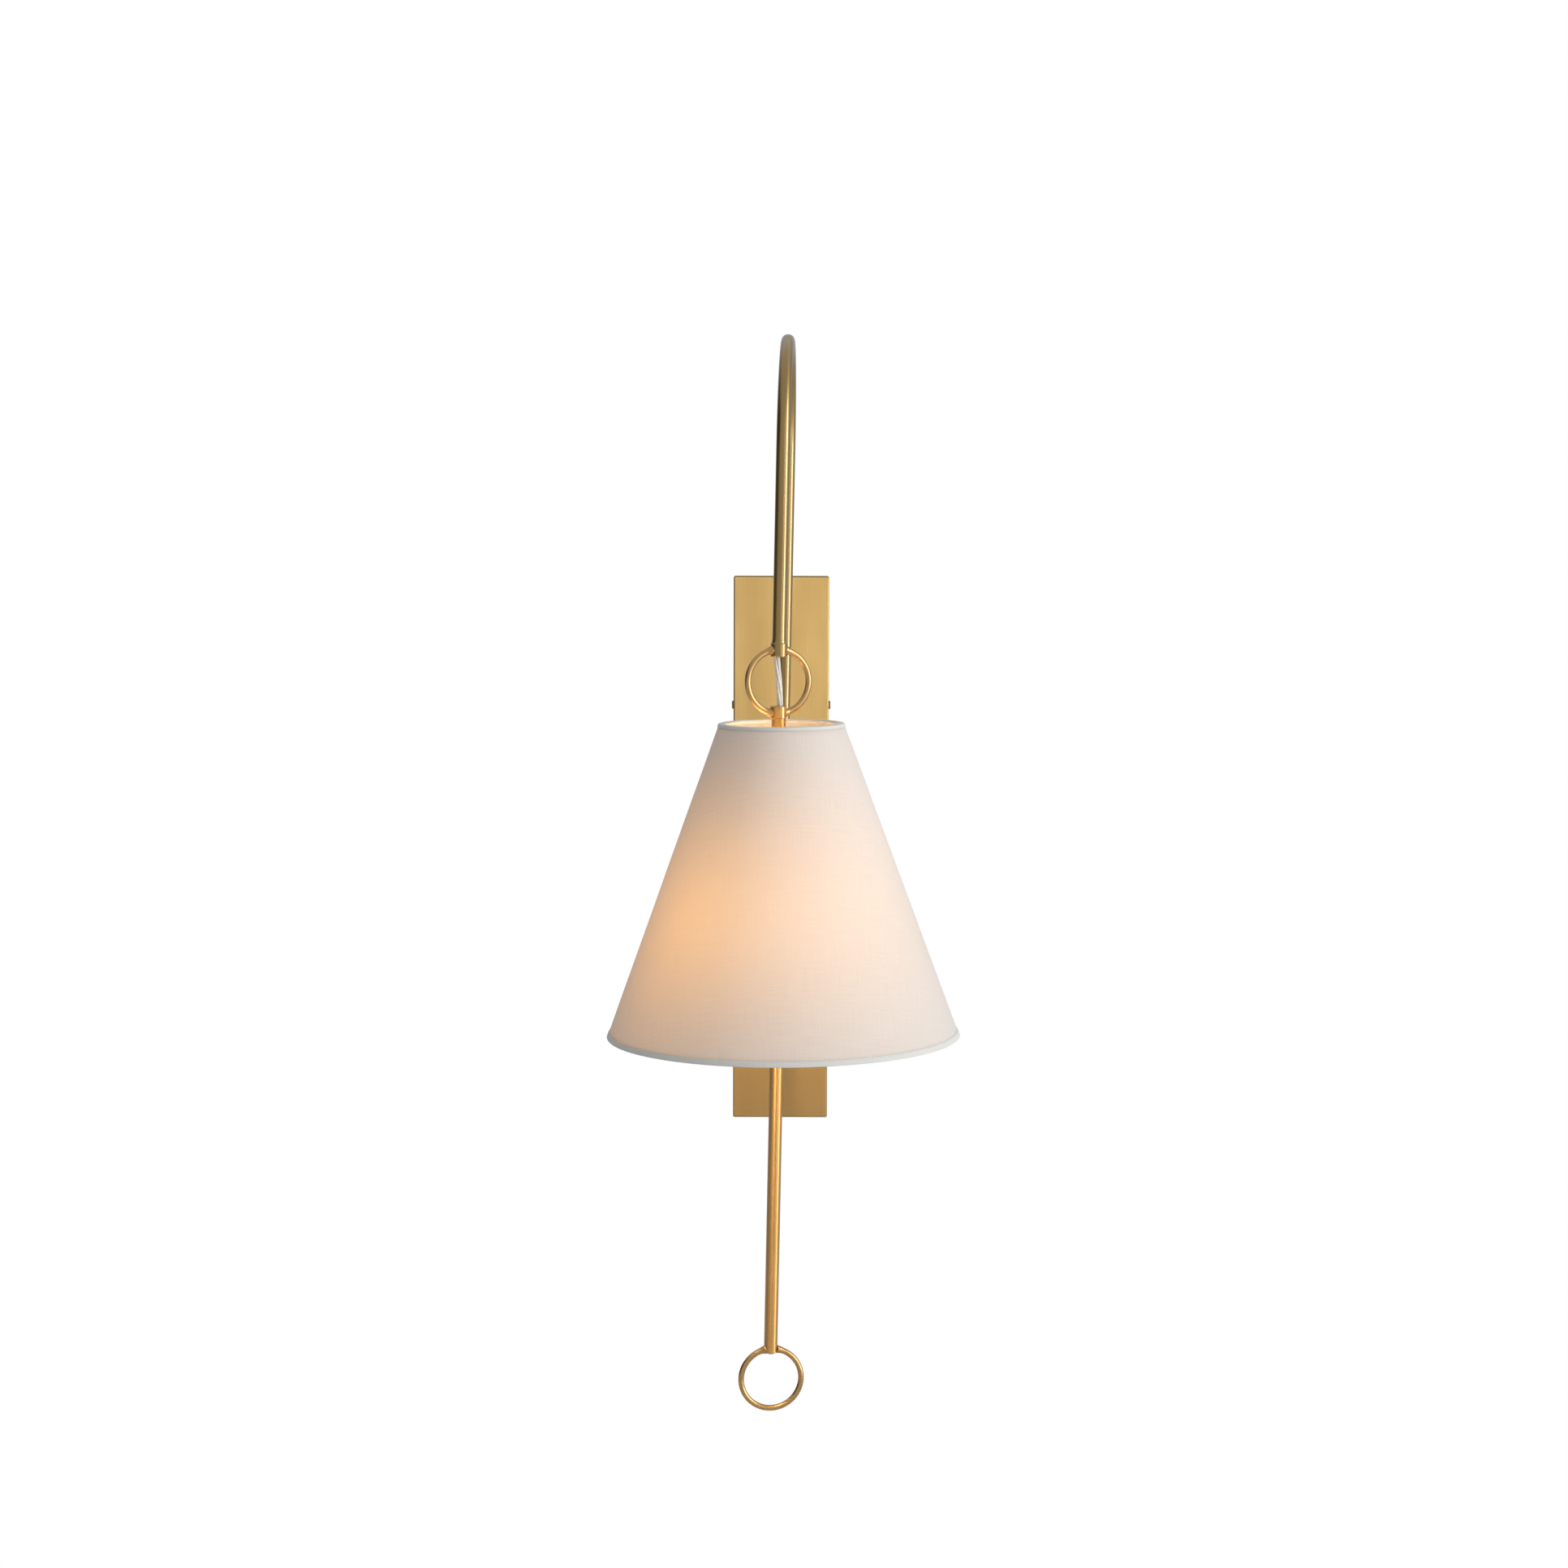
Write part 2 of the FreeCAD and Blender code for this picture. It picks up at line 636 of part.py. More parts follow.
def stop_groove_angle():
    """The swing both ways, and the pin's own width and play at each end."""
    play = (DIM["pin_diameter"] + DIM["thrust_gap"] * 4) / DIM["groove_radius"]
    return DIM["swing_limit"] * 2 + play * (180 / math.pi)


def make_bush(label, side):
    """A flanged bearing pressed into one end of the sleeve."""
    outer = DIM["sleeve_bore"] / 2
    inner = TUBE_RADIUS + DIM["running_clearance"]
    end = DIM["sleeve_height"] / 2
    corners = [
        (inner, end - DIM["bush_length"]), (outer, end - DIM["bush_length"]), (outer, end),
        (DIM["bush_flange"] / 2, end), (DIM["bush_flange"] / 2, end + DIM["bush_flange_thick"]),
        (inner, end + DIM["bush_flange_thick"])]
    turned(label, [(radius, height * side) for radius, height in corners], BRACKET)


# ---- arm ---------------------------------------------------------------------------------------

def upper_collar_low():
    return DIM["sleeve_height"] / 2 + DIM["bush_flange_thick"] + DIM["thrust_gap"]


def make_stop_collars():
    low = upper_collar_low()
    upper = turned("upper_stop_collar", bevelled_tube_outline(
        DIM["tube_diameter"], DIM["sleeve_diameter"], low, low + DIM["upper_collar_height"],
        DIM["bracket_edge"]), ARM)
    pin_hole = new_sketch(upper, "XY", low)
    draw_circle(pin_hole, DIM["pin_diameter"], ZERO, -DIM["groove_radius"])
    pocket(upper, pin_hole, DIM["pin_grip"], backwards=True)
    drill_set_screw(upper, low + DIM["upper_collar_height"] / 2)
    lower = turned("lower_stop_collar", bevelled_tube_outline(
        DIM["tube_diameter"], DIM["lower_collar_diameter"], -low - DIM["lower_collar_height"], -low,
        DIM["bracket_edge"]), ARM)
    drill_set_screw(lower, -low - DIM["lower_collar_height"] / 2)


def drill_set_screw(body, height):
    sketch = new_sketch(body, "YZ")
    draw_circle(sketch, DIM["set_screw_diameter"], ZERO, height)
    pocket(body, sketch, DIM["sleeve_diameter"], backwards=True)


def make_collar_set_screws():
    low = upper_collar_low().value
    heights = (low + DIM["upper_collar_height"].value / 2, -low - DIM["lower_collar_height"].value / 2)
    outer = (DIM["sleeve_diameter"].value / 2, DIM["lower_collar_diameter"].value / 2)
    screw = DIM["set_screw_diameter"].value / 2
    solids = []
    for height, radius in zip(heights, outer):
        length = radius - DIM["set_screw_sink"].value - TUBE_RADIUS.value
        solids.append(Part.makeCylinder(screw, length, Vector(TUBE_RADIUS.value, 0, height), ACROSS))
    shaped("collar_set_screws", Part.makeCompound(solids), ARM)


def make_stop_pin():
    top = upper_collar_low() + DIM["pin_grip"]
    tip = DIM["sleeve_height"] / 2 - DIM["groove_depth"] + DIM["pin_gap"]
    frame = ARM * moved(y=-DIM["groove_radius"].value)
    turned("stop_pin", rod_outline(DIM["pin_diameter"], tip, top), frame)


def make_crook_tube():
    """Upright, half-circle and front arm, bent from one tube, with a slot for the cord."""
    low = DIM["tube_end"]
    front_end = DIM["upper_link_collar_low"] + DIM["link_seat"]
    body = new_body("crook_tube", ARM)
    spine = new_sketch(body, "YZ")
    rod = spine.addGeometry(Part.LineSegment(Vector(0, low.value, 0), Vector(0, ARCH_CENTRE.value, 0)))
    top = Vector(-ARCH_RADIUS.value, (ARCH_CENTRE + ARCH_RADIUS).value, 0)
    front = Vector(-REACH, ARCH_CENTRE.value, 0)
    arch = spine.addGeometry(Part.Arc(Vector(0, ARCH_CENTRE.value, 0), top, front))
    arm = spine.addGeometry(Part.LineSegment(front, Vector(-REACH, front_end.value, 0)))
    pin(spine, rod, 1, ZERO, low)
    pin(spine, rod, 2, ZERO, ARCH_CENTRE)
    pin(spine, arm, 1, -DIM["arm_reach"], ARCH_CENTRE)
    pin(spine, arm, 2, -DIM["arm_reach"], front_end)
    pin(spine, arch, 3, -ARCH_RADIUS, ARCH_CENTRE)
    spine.addConstraint(Sketcher.Constraint("Coincident", arch, 1, rod, 2))
    section = new_sketch(body, "XY", low)
    draw_circle(section, DIM["tube_diameter"])
    draw_circle(section, DIM["tube_bore"])
    pipe = body.newObject("PartDesign::AdditivePipe", "crook_tube_pipe")
    pipe.Profile = section
    pipe.Spine = (spine, [])
    slot = new_sketch(body, "XZ", -DIM["cord_slot_start"])
    draw_rectangle(slot, DIM["tube_diameter"] + 2, DIM["cord_slot_height"])
    pocket(body, slot, DIM["tube_diameter"])


def make_pull_rod():
    """Lower rod with a domed end, and a spigot in the end of the tube."""
    tip = DIM["rod_tip"]
    rise = DIM["rod_dome"]
    outer = DIM["rod_diameter"] / 2
    dome = (outer * outer + rise * rise) / (rise * 2)
    spigot = DIM["tube_bore"] / 2
    shoulder = DIM["tube_end"]
    turned("pull_rod", [
        (ZERO, tip, dome, 1), (outer, tip + rise), (outer, shoulder), (spigot, shoulder),
        (spigot, shoulder + DIM["spigot_length"]), (ZERO, shoulder + DIM["spigot_length"])], ARM)


def ring_with_brazing(diameter, sides, posts):
    """An upright wire ring, cut out where posts pass and thickened beside them with brazing."""
    wire = DIM["ring_wire"]
    major = (diameter - wire) / 2
    torus = primitive("Torus", {"Radius1": major, "Radius2": wire / 2}, turned_about(ACROSS, 90))
    lumps = [braze_lump(major.value, side, hand) for side in sides for hand in (1, -1)]
    return cut_from(fused([torus] + lumps), posts)


def braze_lump(major, side, hand):
    """A ball of brazing on the wire where it meets a post."""
    across = (TUBE_RADIUS + DIM["braze_beside"]).value
    place = moved(x=hand * across, z=side * math.sqrt(major ** 2 - across ** 2))
    return primitive("Sphere", {"Radius": DIM["braze_diameter"] / 2}, place)


def make_pull_ring():
    height = DIM["pull_ring_height"].value
    place = moved(x=DIM["pull_ring_shift"].value, z=height) * turned_about(UP, DIM["pull_ring_turn"].value)
    rod = primitive("Cylinder", {
        "Radius": DIM["rod_diameter"] / 2, "Height": DIM["tube_end"] - DIM["rod_tip"]},
        place.inverse() * moved(z=DIM["rod_tip"].value))
    as_sub_part(ring_with_brazing(DIM["pull_ring_diameter"], (1,), rod), "pull_ring", ARM * place)


def make_link_ring():
    place = moved(y=-REACH, z=LINK) * turned_about(UP, DIM["link_ring_turn"].value)
    reach = ARCH_RADIUS
    upper = primitive("Cylinder", {"Radius": DIM["upper_link_collar_diameter"] / 2, "Height": reach},
                      moved(z=DIM["upper_link_collar_low"].value - LINK))
    lower_in_ring = place.inverse() * LINK_TILT
    lower = primitive("Cylinder", {"Radius": DIM["lower_link_collar_diameter"] / 2, "Height": reach},
                      lower_in_ring * moved(z=DIM["lower_link_collar_high"].value - LINK - reach.value))
    ring = ring_with_brazing(DIM["link_ring_diameter"], (1, -1), fused([upper, lower]))
    as_sub_part(ring, "link_ring", ARM * place)


def make_link_collars():
    """Collars that hold the ends of the arm and the stem and let the cord through."""
    make_link_collar("upper_link_collar", 1, DIM["upper_link_collar_low"], DIM["upper_link_collar_high"],
                     TUBE_RADIUS, ARM * moved(y=-REACH))
    make_link_collar("lower_link_collar", -1, DIM["lower_link_collar_high"], DIM["lower_link_collar_low"],
                     DIM["stem_diameter"] / 2, STEM)


def make_link_collar(label, side, face, far, seat, frame):
    """A collar from its face in the ring to its far end, where a tube sits in it."""
    way = DIM["tube_bore"] / 2
    outer = DIM[label + "_diameter"] / 2
    edge = DIM["collar_edge"]
    shoulder = face + DIM["link_seat"] * side
    turned(label, [
        (way, face), (outer - edge, face), (outer, face + edge * side), (outer, far - edge * side),
        (outer - edge, far), (seat, far), (seat, shoulder), (way, shoulder)], frame)


# ---- stem, shade and socket -------------------------------------------------------------------

def make_socket_stem():
    """Tube from the lower link collar to the socket, threaded where the fitter is clamped."""
    top = DIM["lower_link_collar_high"] - DIM["link_seat"]
    step = DIM["hub_height"] + DIM["hub_thick"] + DIM["fitter_nut_thick"]
    bore = DIM["tube_bore"] / 2
    thread = DIM["stem_thread"] / 2
    outer = DIM["stem_diameter"] / 2
    turned("socket_stem", [
        (bore, DIM["stem_low"]), (thread, DIM["stem_low"]), (thread, step), (outer, step),
        (outer, top), (bore, top)], STEM)


def shade_radius(height):
    """The linen's outer radius at a height."""
    spread = DIM["shade_bottom_radius"] - DIM["shade_top_radius"]
    slope = spread / (DIM["shade_top"] - DIM["shade_bottom"])
    return DIM["shade_top_radius"] + (DIM["shade_top"] - height) * slope


def make_cone_layer(label, outer_depth, inner_depth):
    """One layer of the shade, between two depths under the linen's outer face."""
    top = DIM["shade_top"]
    bottom = DIM["shade_bottom"]
    turned(label, [
        (shade_radius(bottom) - inner_depth, bottom), (shade_radius(bottom) - outer_depth, bottom),
        (shade_radius(top) - outer_depth, top), (shade_radius(top) - inner_depth, top)], SHADE)


def make_hem(label, rim, side, reach, wire):
    """Linen rolled over a rim and its wire. side is 1 at the top rim and -1 at the bottom one."""
    skin = DIM["hem_thick"]
    inner = DIM["linen_thick"] + DIM["liner_thick"] + wire + DIM["wire_play"] * 2
    end = rim - reach * side
    crest = rim + skin * side
    turned(label, [
        (shade_radius(end), end), (shade_radius(end) + skin, end), (shade_radius(rim) + skin, rim),
        (shade_radius(rim), crest), (shade_radius(rim) - inner, crest),
        (shade_radius(rim) - inner - skin, rim), (shade_radius(end) - inner - skin, end),
        (shade_radius(end) - inner, end), (shade_radius(rim) - inner, rim), (shade_radius(rim), rim)], SHADE)


def wire_radius(rim, wire, side):
    """The middle of a rim wire that lies beside the liner."""
    layers = DIM["linen_thick"] + DIM["liner_thick"]
    return shade_radius(rim - wire / 2 * side) - layers - wire / 2 - DIM["wire_play"]


def make_shade_bottom_wire():
    wire = DIM["bottom_wire"]
    radius = wire_radius(DIM["shade_bottom"], wire, -1)
    height = DIM["shade_bottom"].value + wire.value / 2
    torus = primitive("Torus", {"Radius1": radius, "Radius2": wire / 2})
    as_sub_part(torus, "shade_bottom_wire", SHADE * moved(z=height))


def make_shade_fitter():
    """Hub on the stem, arms and top wire, welded together. The wire's ring is the shade's own."""
    wire = DIM["top_wire"]
    rim_radius = wire_radius(DIM["shade_top"], wire, 1)
    rim_centre = Vector(DIM["shade_shift"].value, 0, (DIM["shade_top"] - wire / 2).value)
    rim = primitive(
        "Torus", {"Radius1": rim_radius, "Radius2": wire / 2}, Placement(rim_centre, Rotation()))
    hub = primitive("Cylinder", {"Radius": DIM["hub_diameter"] / 2, "Height": DIM["hub_thick"]},
                    moved(z=DIM["hub_height"].value))
    hub_centre = Vector(0, 0, (DIM["hub_height"] + DIM["hub_thick"] / 2).value)
    hub_weld = (DIM["hub_diameter"] / 2 - DIM["weld_sink"]).value
    rim_weld = (rim_radius - wire / 4).value
    arms = []
    for number in range(SPIDER_ARMS):
        outward = Rotation(UP, 90 + 360 / SPIDER_ARMS * number).multVec(ACROSS)
        start = hub_centre + outward * hub_weld
        reach = rim_centre + outward * rim_weld - start
        arm = primitive(
            "Cylinder", {"Radius": DIM["spider_wire"] / 2}, Placement(start, Rotation(UP, reach)))
        arm.Height = reach.Length
        arms.append(arm)
    hole = primitive("Cylinder", {"Radius": DIM["hub_bore"] / 2, "Height": DIM["hub_thick"] * 3},
                     moved(z=(DIM["hub_height"] - DIM["hub_thick"]).value))
    as_sub_part(cut_from(fused([rim, hub] + arms), hole), "shade_fitter", STEM)


def make_socket_cap():
    """Domed cup that closes the top of the socket."""
    wall = DIM["cap_wall"]
    top = DIM["hub_height"]
    outer = DIM["shell_diameter"] / 2
    neck = DIM["cap_neck"] / 2
    hole = DIM["stem_thread"] / 2
    shoulder = DIM["cap_shoulder"]
    turned("socket_cap", [
        (hole, top), (hole, top - wall), (neck - wall / 2, top - wall), (outer - wall, shoulder - wall / 2),
        (outer - wall, DIM["cap_low"]), (outer, DIM["cap_low"]), (outer, shoulder), (neck, top)], STEM)


def make_socket_shell():
    outer = DIM["shell_diameter"]
    body = turned("socket_shell", tube_outline(
        outer - DIM["shell_wall"] * 2, outer, DIM["shell_low"], DIM["cap_low"]), STEM)
    drill_switch_hole(body, DIM["switch_bushing"], outer)


def make_socket_sleeve():
    outer = DIM["shell_diameter"] - DIM["shell_wall"] * 2
    body = turned("socket_sleeve", tube_outline(
        outer - DIM["sleeve_wall"] * 2, outer, DIM["sleeve_low"], DIM["cap_low"]), STEM)
    drill_switch_hole(body, DIM["switch_bushing"], outer)


def drill_switch_hole(body, diameter, length):
    sketch = new_sketch(body, "YZ")
    draw_circle(sketch, diameter, ZERO, DIM["switch_height"])
    pocket(body, sketch, length, backwards=True)


def make_socket_insert():
    """Moulded block that carries the contacts, the switch and the screw shell."""
    body = turned("socket_insert", tube_outline(
        DIM["cord_hole"], DIM["insert_diameter"], DIM["insert_low"], DIM["insert_high"]), STEM)
    outer = DIM["insert_diameter"] / 2
    recess = new_sketch(body, "YZ", outer - DIM["switch_recess_depth"])
    draw_circle(recess, DIM["switch_recess"], ZERO, DIM["switch_height"])
    pocket(body, recess, outer, backwards=True)


def make_screw_shell():
    outer = DIM["screw_shell_diameter"]
    turned("screw_shell", tube_outline(
        outer - DIM["screw_shell_wall"] * 2, outer, DIM["screw_shell_low"], DIM["insert_low"]), STEM)


def make_centre_contact():
    """Flat tongue across the floor of the socket."""
    body = new_body("centre_contact", STEM)
    sketch = new_sketch(body, "XY", DIM["insert_low"] - DIM["contact_thick"])
    draw_rectangle(sketch, DIM["contact_width"], DIM["contact_length"])
    pad(body, sketch, DIM["contact_thick"])


def make_fitter_nut():
    low = DIM["hub_height"] + DIM["hub_thick"]
    make_nut("fitter_nut", DIM["fitter_nut_across"], DIM["stem_thread"], low, DIM["fitter_nut_thick"], STEM)


def make_switch():
    """Bushing in the shell, and the shaft and knob that turn in it."""
    shell = DIM["shell_diameter"] / 2
    shaft = DIM["switch_shaft_diameter"]
    bore = shaft + DIM["running_clearance"] * 2
    inner = shell - DIM["bushing_grip"]
    face = shell + DIM["bushing_head_thick"]
    head_back = shell + DIM["bushing_head_gap"]
    turned("switch_bushing", [
        (bore / 2, inner), (DIM["switch_bushing"] / 2, inner), (DIM["switch_bushing"] / 2, head_back),
        (DIM["switch_bushing_head"] / 2, head_back), (DIM["switch_bushing_head"] / 2, face),
        (bore / 2, face)], SWITCH)
    knob_low = face + DIM["knob_gap"]
    shaft_end = knob_low + DIM["knob_bore_depth"]
    turned("switch_shaft", rod_outline(shaft, DIM["switch_shaft_start"], shaft_end), SWITCH)
    knob = turned("switch_knob", bevelled_tube_outline(
        ZERO, DIM["knob_diameter"], knob_low, knob_low + DIM["knob_length"], DIM["knob_edge"]), SWITCH)
    bore_sketch = new_sketch(knob, "XY", knob_low)
    draw_circle(bore_sketch, shaft)
    pocket(knob, bore_sketch, DIM["knob_bore_depth"], backwards=True)
    cut_flutes(knob, knob_low)


def cut_flutes(knob, low):
    """Finger grooves round the knob, one cut and a polar pattern of it."""
    sketch = new_sketch(knob, "XY", low)
    draw_circle(sketch, DIM["knob_flute"], DIM["knob_diameter"] / 2)
    flute = pocket(knob, sketch, DIM["knob_length"], backwards=True)
    pattern = knob.newObject("PartDesign::PolarPattern", "switch_knob_flutes")
    pattern.Originals = [flute]
    pattern.Axis = (sketch, ["N_Axis"])
    pattern.Angle = 360
    pattern.Occurrences = KNOB_FLUTES
    knob.Tip = pattern


def make_bulb_glass():
    """Hollow envelope: a ball, a waist that leads into the neck, and the neck in the base."""
    ball = DIM["bulb_radius"]
    centre = DIM["bulb_centre"]
    shoulder = DIM["bulb_shoulder"]
    body = turned("bulb_glass", envelope_outline(ball, centre, shoulder, DIM["bulb_neck"] / 2, ZERO), STEM)
    hollow = new_sketch(body, "XZ")
    draw_outline(hollow, envelope_outline(ball, centre, shoulder, DIM["bulb_neck"] / 2, DIM["bulb_wall"]))

    def set_up(feature):
        feature.Profile = hollow
        feature.ReferenceAxis = (hollow, ["V_Axis"])
        feature.Angle = 360
    cut(body, "Groove", set_up)


def envelope_outline(ball, centre, shoulder, neck, inset):
    """The bulb's outline, moved inwards by inset. An inset outline runs out through the neck's end."""
    radius = ball - inset
    waist = (ball * cosine(shoulder) - neck) / (sized(1) - cosine(shoulder))
    waist_end = centre + (ball + waist) * sine(shoulder)
    top = DIM["bulb_neck_high"] + inset
    return [
        (ZERO, centre - radius, radius, 1),
        (radius * cosine(shoulder), centre + radius * sine(shoulder), waist + inset, -1),
        (neck - inset, waist_end), (neck - inset, top), (ZERO, top)]


def make_bulb_base():
    """Thin screw cap with the neck of the envelope in it, and its insulated tip."""
    outer = DIM["bulb_base_diameter"]
    low = DIM["bulb_base_low"]
    turned("bulb_base", tube_outline(
        outer - DIM["bulb_base_wall"] * 2, outer, low, DIM["bulb_base_high"]), STEM)
    tip = DIM["bulb_contact_diameter"] / 2
    edge = DIM["bulb_contact_edge"]
    turned("bulb_contact", [
        (ZERO, DIM["bulb_base_high"]), (outer / 2, DIM["bulb_base_high"]),
        (tip, DIM["bulb_contact_high"] - edge), (tip - edge, DIM["bulb_contact_high"]),
        (ZERO, DIM["bulb_contact_high"])], STEM)


def make_bulb_filament_mount():
    """Glass post from the base and the upright filaments round it."""
    mount_low = DIM["mount_low"].value
    post = primitive("Cylinder", {
        "Radius": DIM["mount_diameter"] / 2, "Height": DIM["bulb_base_high"] - DIM["mount_low"]},
        moved(z=mount_low))
    disc = primitive("Cylinder", {
        "Radius": DIM["filament_radius"] + DIM["filament_diameter"], "Height": DIM["filament_diameter"]},
        moved(z=mount_low))
    pieces = [post, disc]
    hang = moved(x=DIM["filament_radius"].value, z=mount_low - DIM["filament_length"].value)
    for number in range(BULB_FILAMENTS):
        turn = turned_about(UP, 360 / BULB_FILAMENTS * (number + 0.5))
        pieces.append(primitive("Cylinder", {
            "Radius": DIM["filament_diameter"] / 2, "Height": DIM["filament_length"]}, turn * hang))
    as_sub_part(fused(pieces), "bulb_filament_mount", STEM)


# ---- wiring --------------------------------------------------------------------------------------

def make_lamp_cord():
    """The cord from the swivel, through the crook and the link ring, to the socket."""
    stem_in_arm = LINK_TILT * moved(z=-LINK)
    offset = DIM["cord_offset"].value
    start = [Vector(0, TUBE_RADIUS.value, 0), Vector(), Vector(0, 0, ARCH_CENTRE.value)]
    route = []
    for side, height in LINK_CORD_ROUTE:
        if height > LINK:
            route.append(Vector(offset * -side, -REACH, height))
        else:
            route.append(stem_in_arm.multVec(Vector(offset * -side, 0, height)))
    end = stem_in_arm.multVec(Vector(0, 0, DIM["hub_height"].value))
    first = rounded_wire(start, DIM["cord_diameter"].value)
    top = Vector(0, -REACH / 2, (ARCH_CENTRE + ARCH_RADIUS).value)
    front = Vector(0, -REACH, ARCH_CENTRE.value)
    arch = Part.Arc(start[-1], top, front).toShape()
    straight_end = front - UP * (ARCH_RADIUS.value * 0.9)
    last = rounded_wire([front, straight_end] + route + [end], CORD_BEND)
    path = Part.Wire(first.Edges + [arch] + last.Edges)
    shaped("lamp_cord", swept(path, DIM["cord_diameter"]), ARM)
    radii = sorted(edge.Curve.Radius for edge in path.Edges if isinstance(edge.Curve, Part.Circle))
    print("lamp cord: length {:.0f} mm, radii {}".format(path.Length, [round(radius, 1) for radius in radii]))


def make_lead_in_cord():
    """The cord in the hollow nipple, up to the turning rod."""
    back = nipple_back()
    cord = DIM["cord_diameter"]
    length = DIM["standoff"] - TUBE_RADIUS - DIM["cord_gap"] - back
    as_sub_part(primitive("Cylinder", {"Radius": cord / 2, "Height": length}), "lead_in_cord",
                turned_about(ACROSS, 90) * moved(z=back.value))


def nipple_back():
    behind = DIM["plate_wall"] + DIM["stiffener_thick"] + DIM["washer_thick"] + DIM["nut_thick"]
    return DIM["plate_depth"] - behind


def make_supply_leads():
    """Two leads from the end of the cord to the wire nuts, and the nuts."""
    leads = []
    places = []
    for side in (1, -1):
        across = DIM["nut_cap_across"].value * side
        points = [Vector(across * share, depth, height) for share, depth, height in LEAD_ROUTE]
        leads.append(swept(rounded_wire(points, LEAD_BEND), DIM["lead_diameter"]))
        places.append(moved(across, -DIM["nut_cap_depth"].value, DIM["nut_cap_height"].value))
    shaped("supply_leads", Part.makeCompound(leads))
    skirt = DIM["nut_cap_diameter"] / 2
    pattern = turned("wire_nut_pattern", [
        (ZERO, ZERO), (skirt, ZERO), (skirt, DIM["nut_cap_skirt"]),
        (DIM["nut_cap_tip"] / 2, DIM["nut_cap_length"]), (ZERO, DIM["nut_cap_length"])], WALL)
    group_of("wire_nuts", pattern, places)


def make_ground_lead():
    """Earth wire from its screw to the stiffener."""
    head = -(DIM["strap_thick"] + DIM["ground_head_height"]).value
    screw = Vector(DIM["ground_across"].value, head, DIM["ground_height"].value)
    front = -(DIM["plate_depth"] - DIM["plate_wall"] - DIM["stiffener_thick"]).value
    points = [screw + Vector(*step) for step in GROUND_ROUTE]
    points.append(Vector(points[-1].x, front, points[-1].z))
    shaped("ground_lead", swept(rounded_wire(points, LEAD_BEND), DIM["lead_diameter"]))


# ---- the whole sconce ----------------------------------------------------------------------------

def make_everything():
    make_backplate_cover()
    make_side_cap_screws()
    make_mounting_strap()
    make_ground_screw()
    make_stiffener_plate()
    make_bracket_fasteners()
    make_swivel_bracket()
    make_bush("upper_bush", 1)
    make_bush("lower_bush", -1)
    make_stop_collars()
    make_collar_set_screws()
    make_stop_pin()
    make_crook_tube()
    make_pull_rod()
    make_pull_ring()
    make_link_ring()
    make_link_collars()
    make_socket_stem()
    make_cone_layer("shade_linen", ZERO, DIM["linen_thick"])
    make_cone_layer("shade_liner", DIM["linen_thick"], DIM["linen_thick"] + DIM["liner_thick"])
    make_hem("shade_top_hem", DIM["shade_top"], 1, DIM["top_hem_height"], DIM["top_wire"])
    make_hem("shade_bottom_hem", DIM["shade_bottom"], -1, DIM["bottom_hem_height"], DIM["bottom_wire"])
    make_shade_bottom_wire()
    make_shade_fitter()
    make_fitter_nut()
    make_socket_cap()
    make_socket_shell()
    make_socket_sleeve()
    make_socket_insert()
    make_screw_shell()
    make_centre_contact()
    make_switch()
    make_bulb_glass()
    make_bulb_base()
    make_bulb_filament_mount()
    make_lamp_cord()
    make_lead_in_cord()
    make_supply_leads()
    make_ground_lead()


def check_everything():
    for item in document.Objects:
        if "Invalid" in item.State or "Error" in item.State:
            raise RuntimeError("{} failed: {}".format(item.Label, item.State))
    for item in sub_parts:
        if item.Shape.isNull() or not item.Shape.isValid():
            raise RuntimeError("{} has no valid shape".format(item.Label))


def write_parts():
    os.makedirs("parts", exist_ok=True)
    for item in sub_parts:
        item.Shape.exportStep("parts/{}.step".format(item.Label))
    print("{} sub-parts written".format(len(sub_parts)))


make_everything()
document.recompute()
check_everything()
write_parts()
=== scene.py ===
"""The looks of a swing arm wall sconce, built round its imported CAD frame."""

import math

import bpy
from mathutils import Matrix, Vector, noise


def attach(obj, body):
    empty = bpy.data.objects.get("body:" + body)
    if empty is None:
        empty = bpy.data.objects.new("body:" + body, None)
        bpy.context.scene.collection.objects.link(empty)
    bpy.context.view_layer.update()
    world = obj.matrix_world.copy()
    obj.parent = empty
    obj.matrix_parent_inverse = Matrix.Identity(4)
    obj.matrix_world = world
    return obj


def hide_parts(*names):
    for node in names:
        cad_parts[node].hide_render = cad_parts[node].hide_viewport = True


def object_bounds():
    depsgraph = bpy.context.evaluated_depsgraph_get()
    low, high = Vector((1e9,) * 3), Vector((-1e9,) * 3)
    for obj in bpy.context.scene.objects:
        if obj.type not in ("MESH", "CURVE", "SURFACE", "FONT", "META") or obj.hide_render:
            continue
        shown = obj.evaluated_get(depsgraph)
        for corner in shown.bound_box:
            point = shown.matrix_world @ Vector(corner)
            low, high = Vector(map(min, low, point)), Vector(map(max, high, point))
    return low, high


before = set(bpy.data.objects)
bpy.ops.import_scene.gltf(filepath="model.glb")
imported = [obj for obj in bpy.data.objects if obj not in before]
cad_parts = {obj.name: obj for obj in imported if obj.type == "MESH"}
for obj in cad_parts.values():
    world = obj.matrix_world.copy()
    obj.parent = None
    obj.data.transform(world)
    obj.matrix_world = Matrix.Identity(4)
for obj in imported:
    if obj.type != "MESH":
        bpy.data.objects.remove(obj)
cad_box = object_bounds()

# ---- frames, which repeat those of the CAD source, in millimetres and degrees -------------------

MM = 0.001
STANDOFF = 50
ARM_LEAN = 0.99
ARM_SWING = -1.68
REACH = 160
LINK = 142.7
SHADE_TILT = 1.49
SHADE_SHIFT = 2

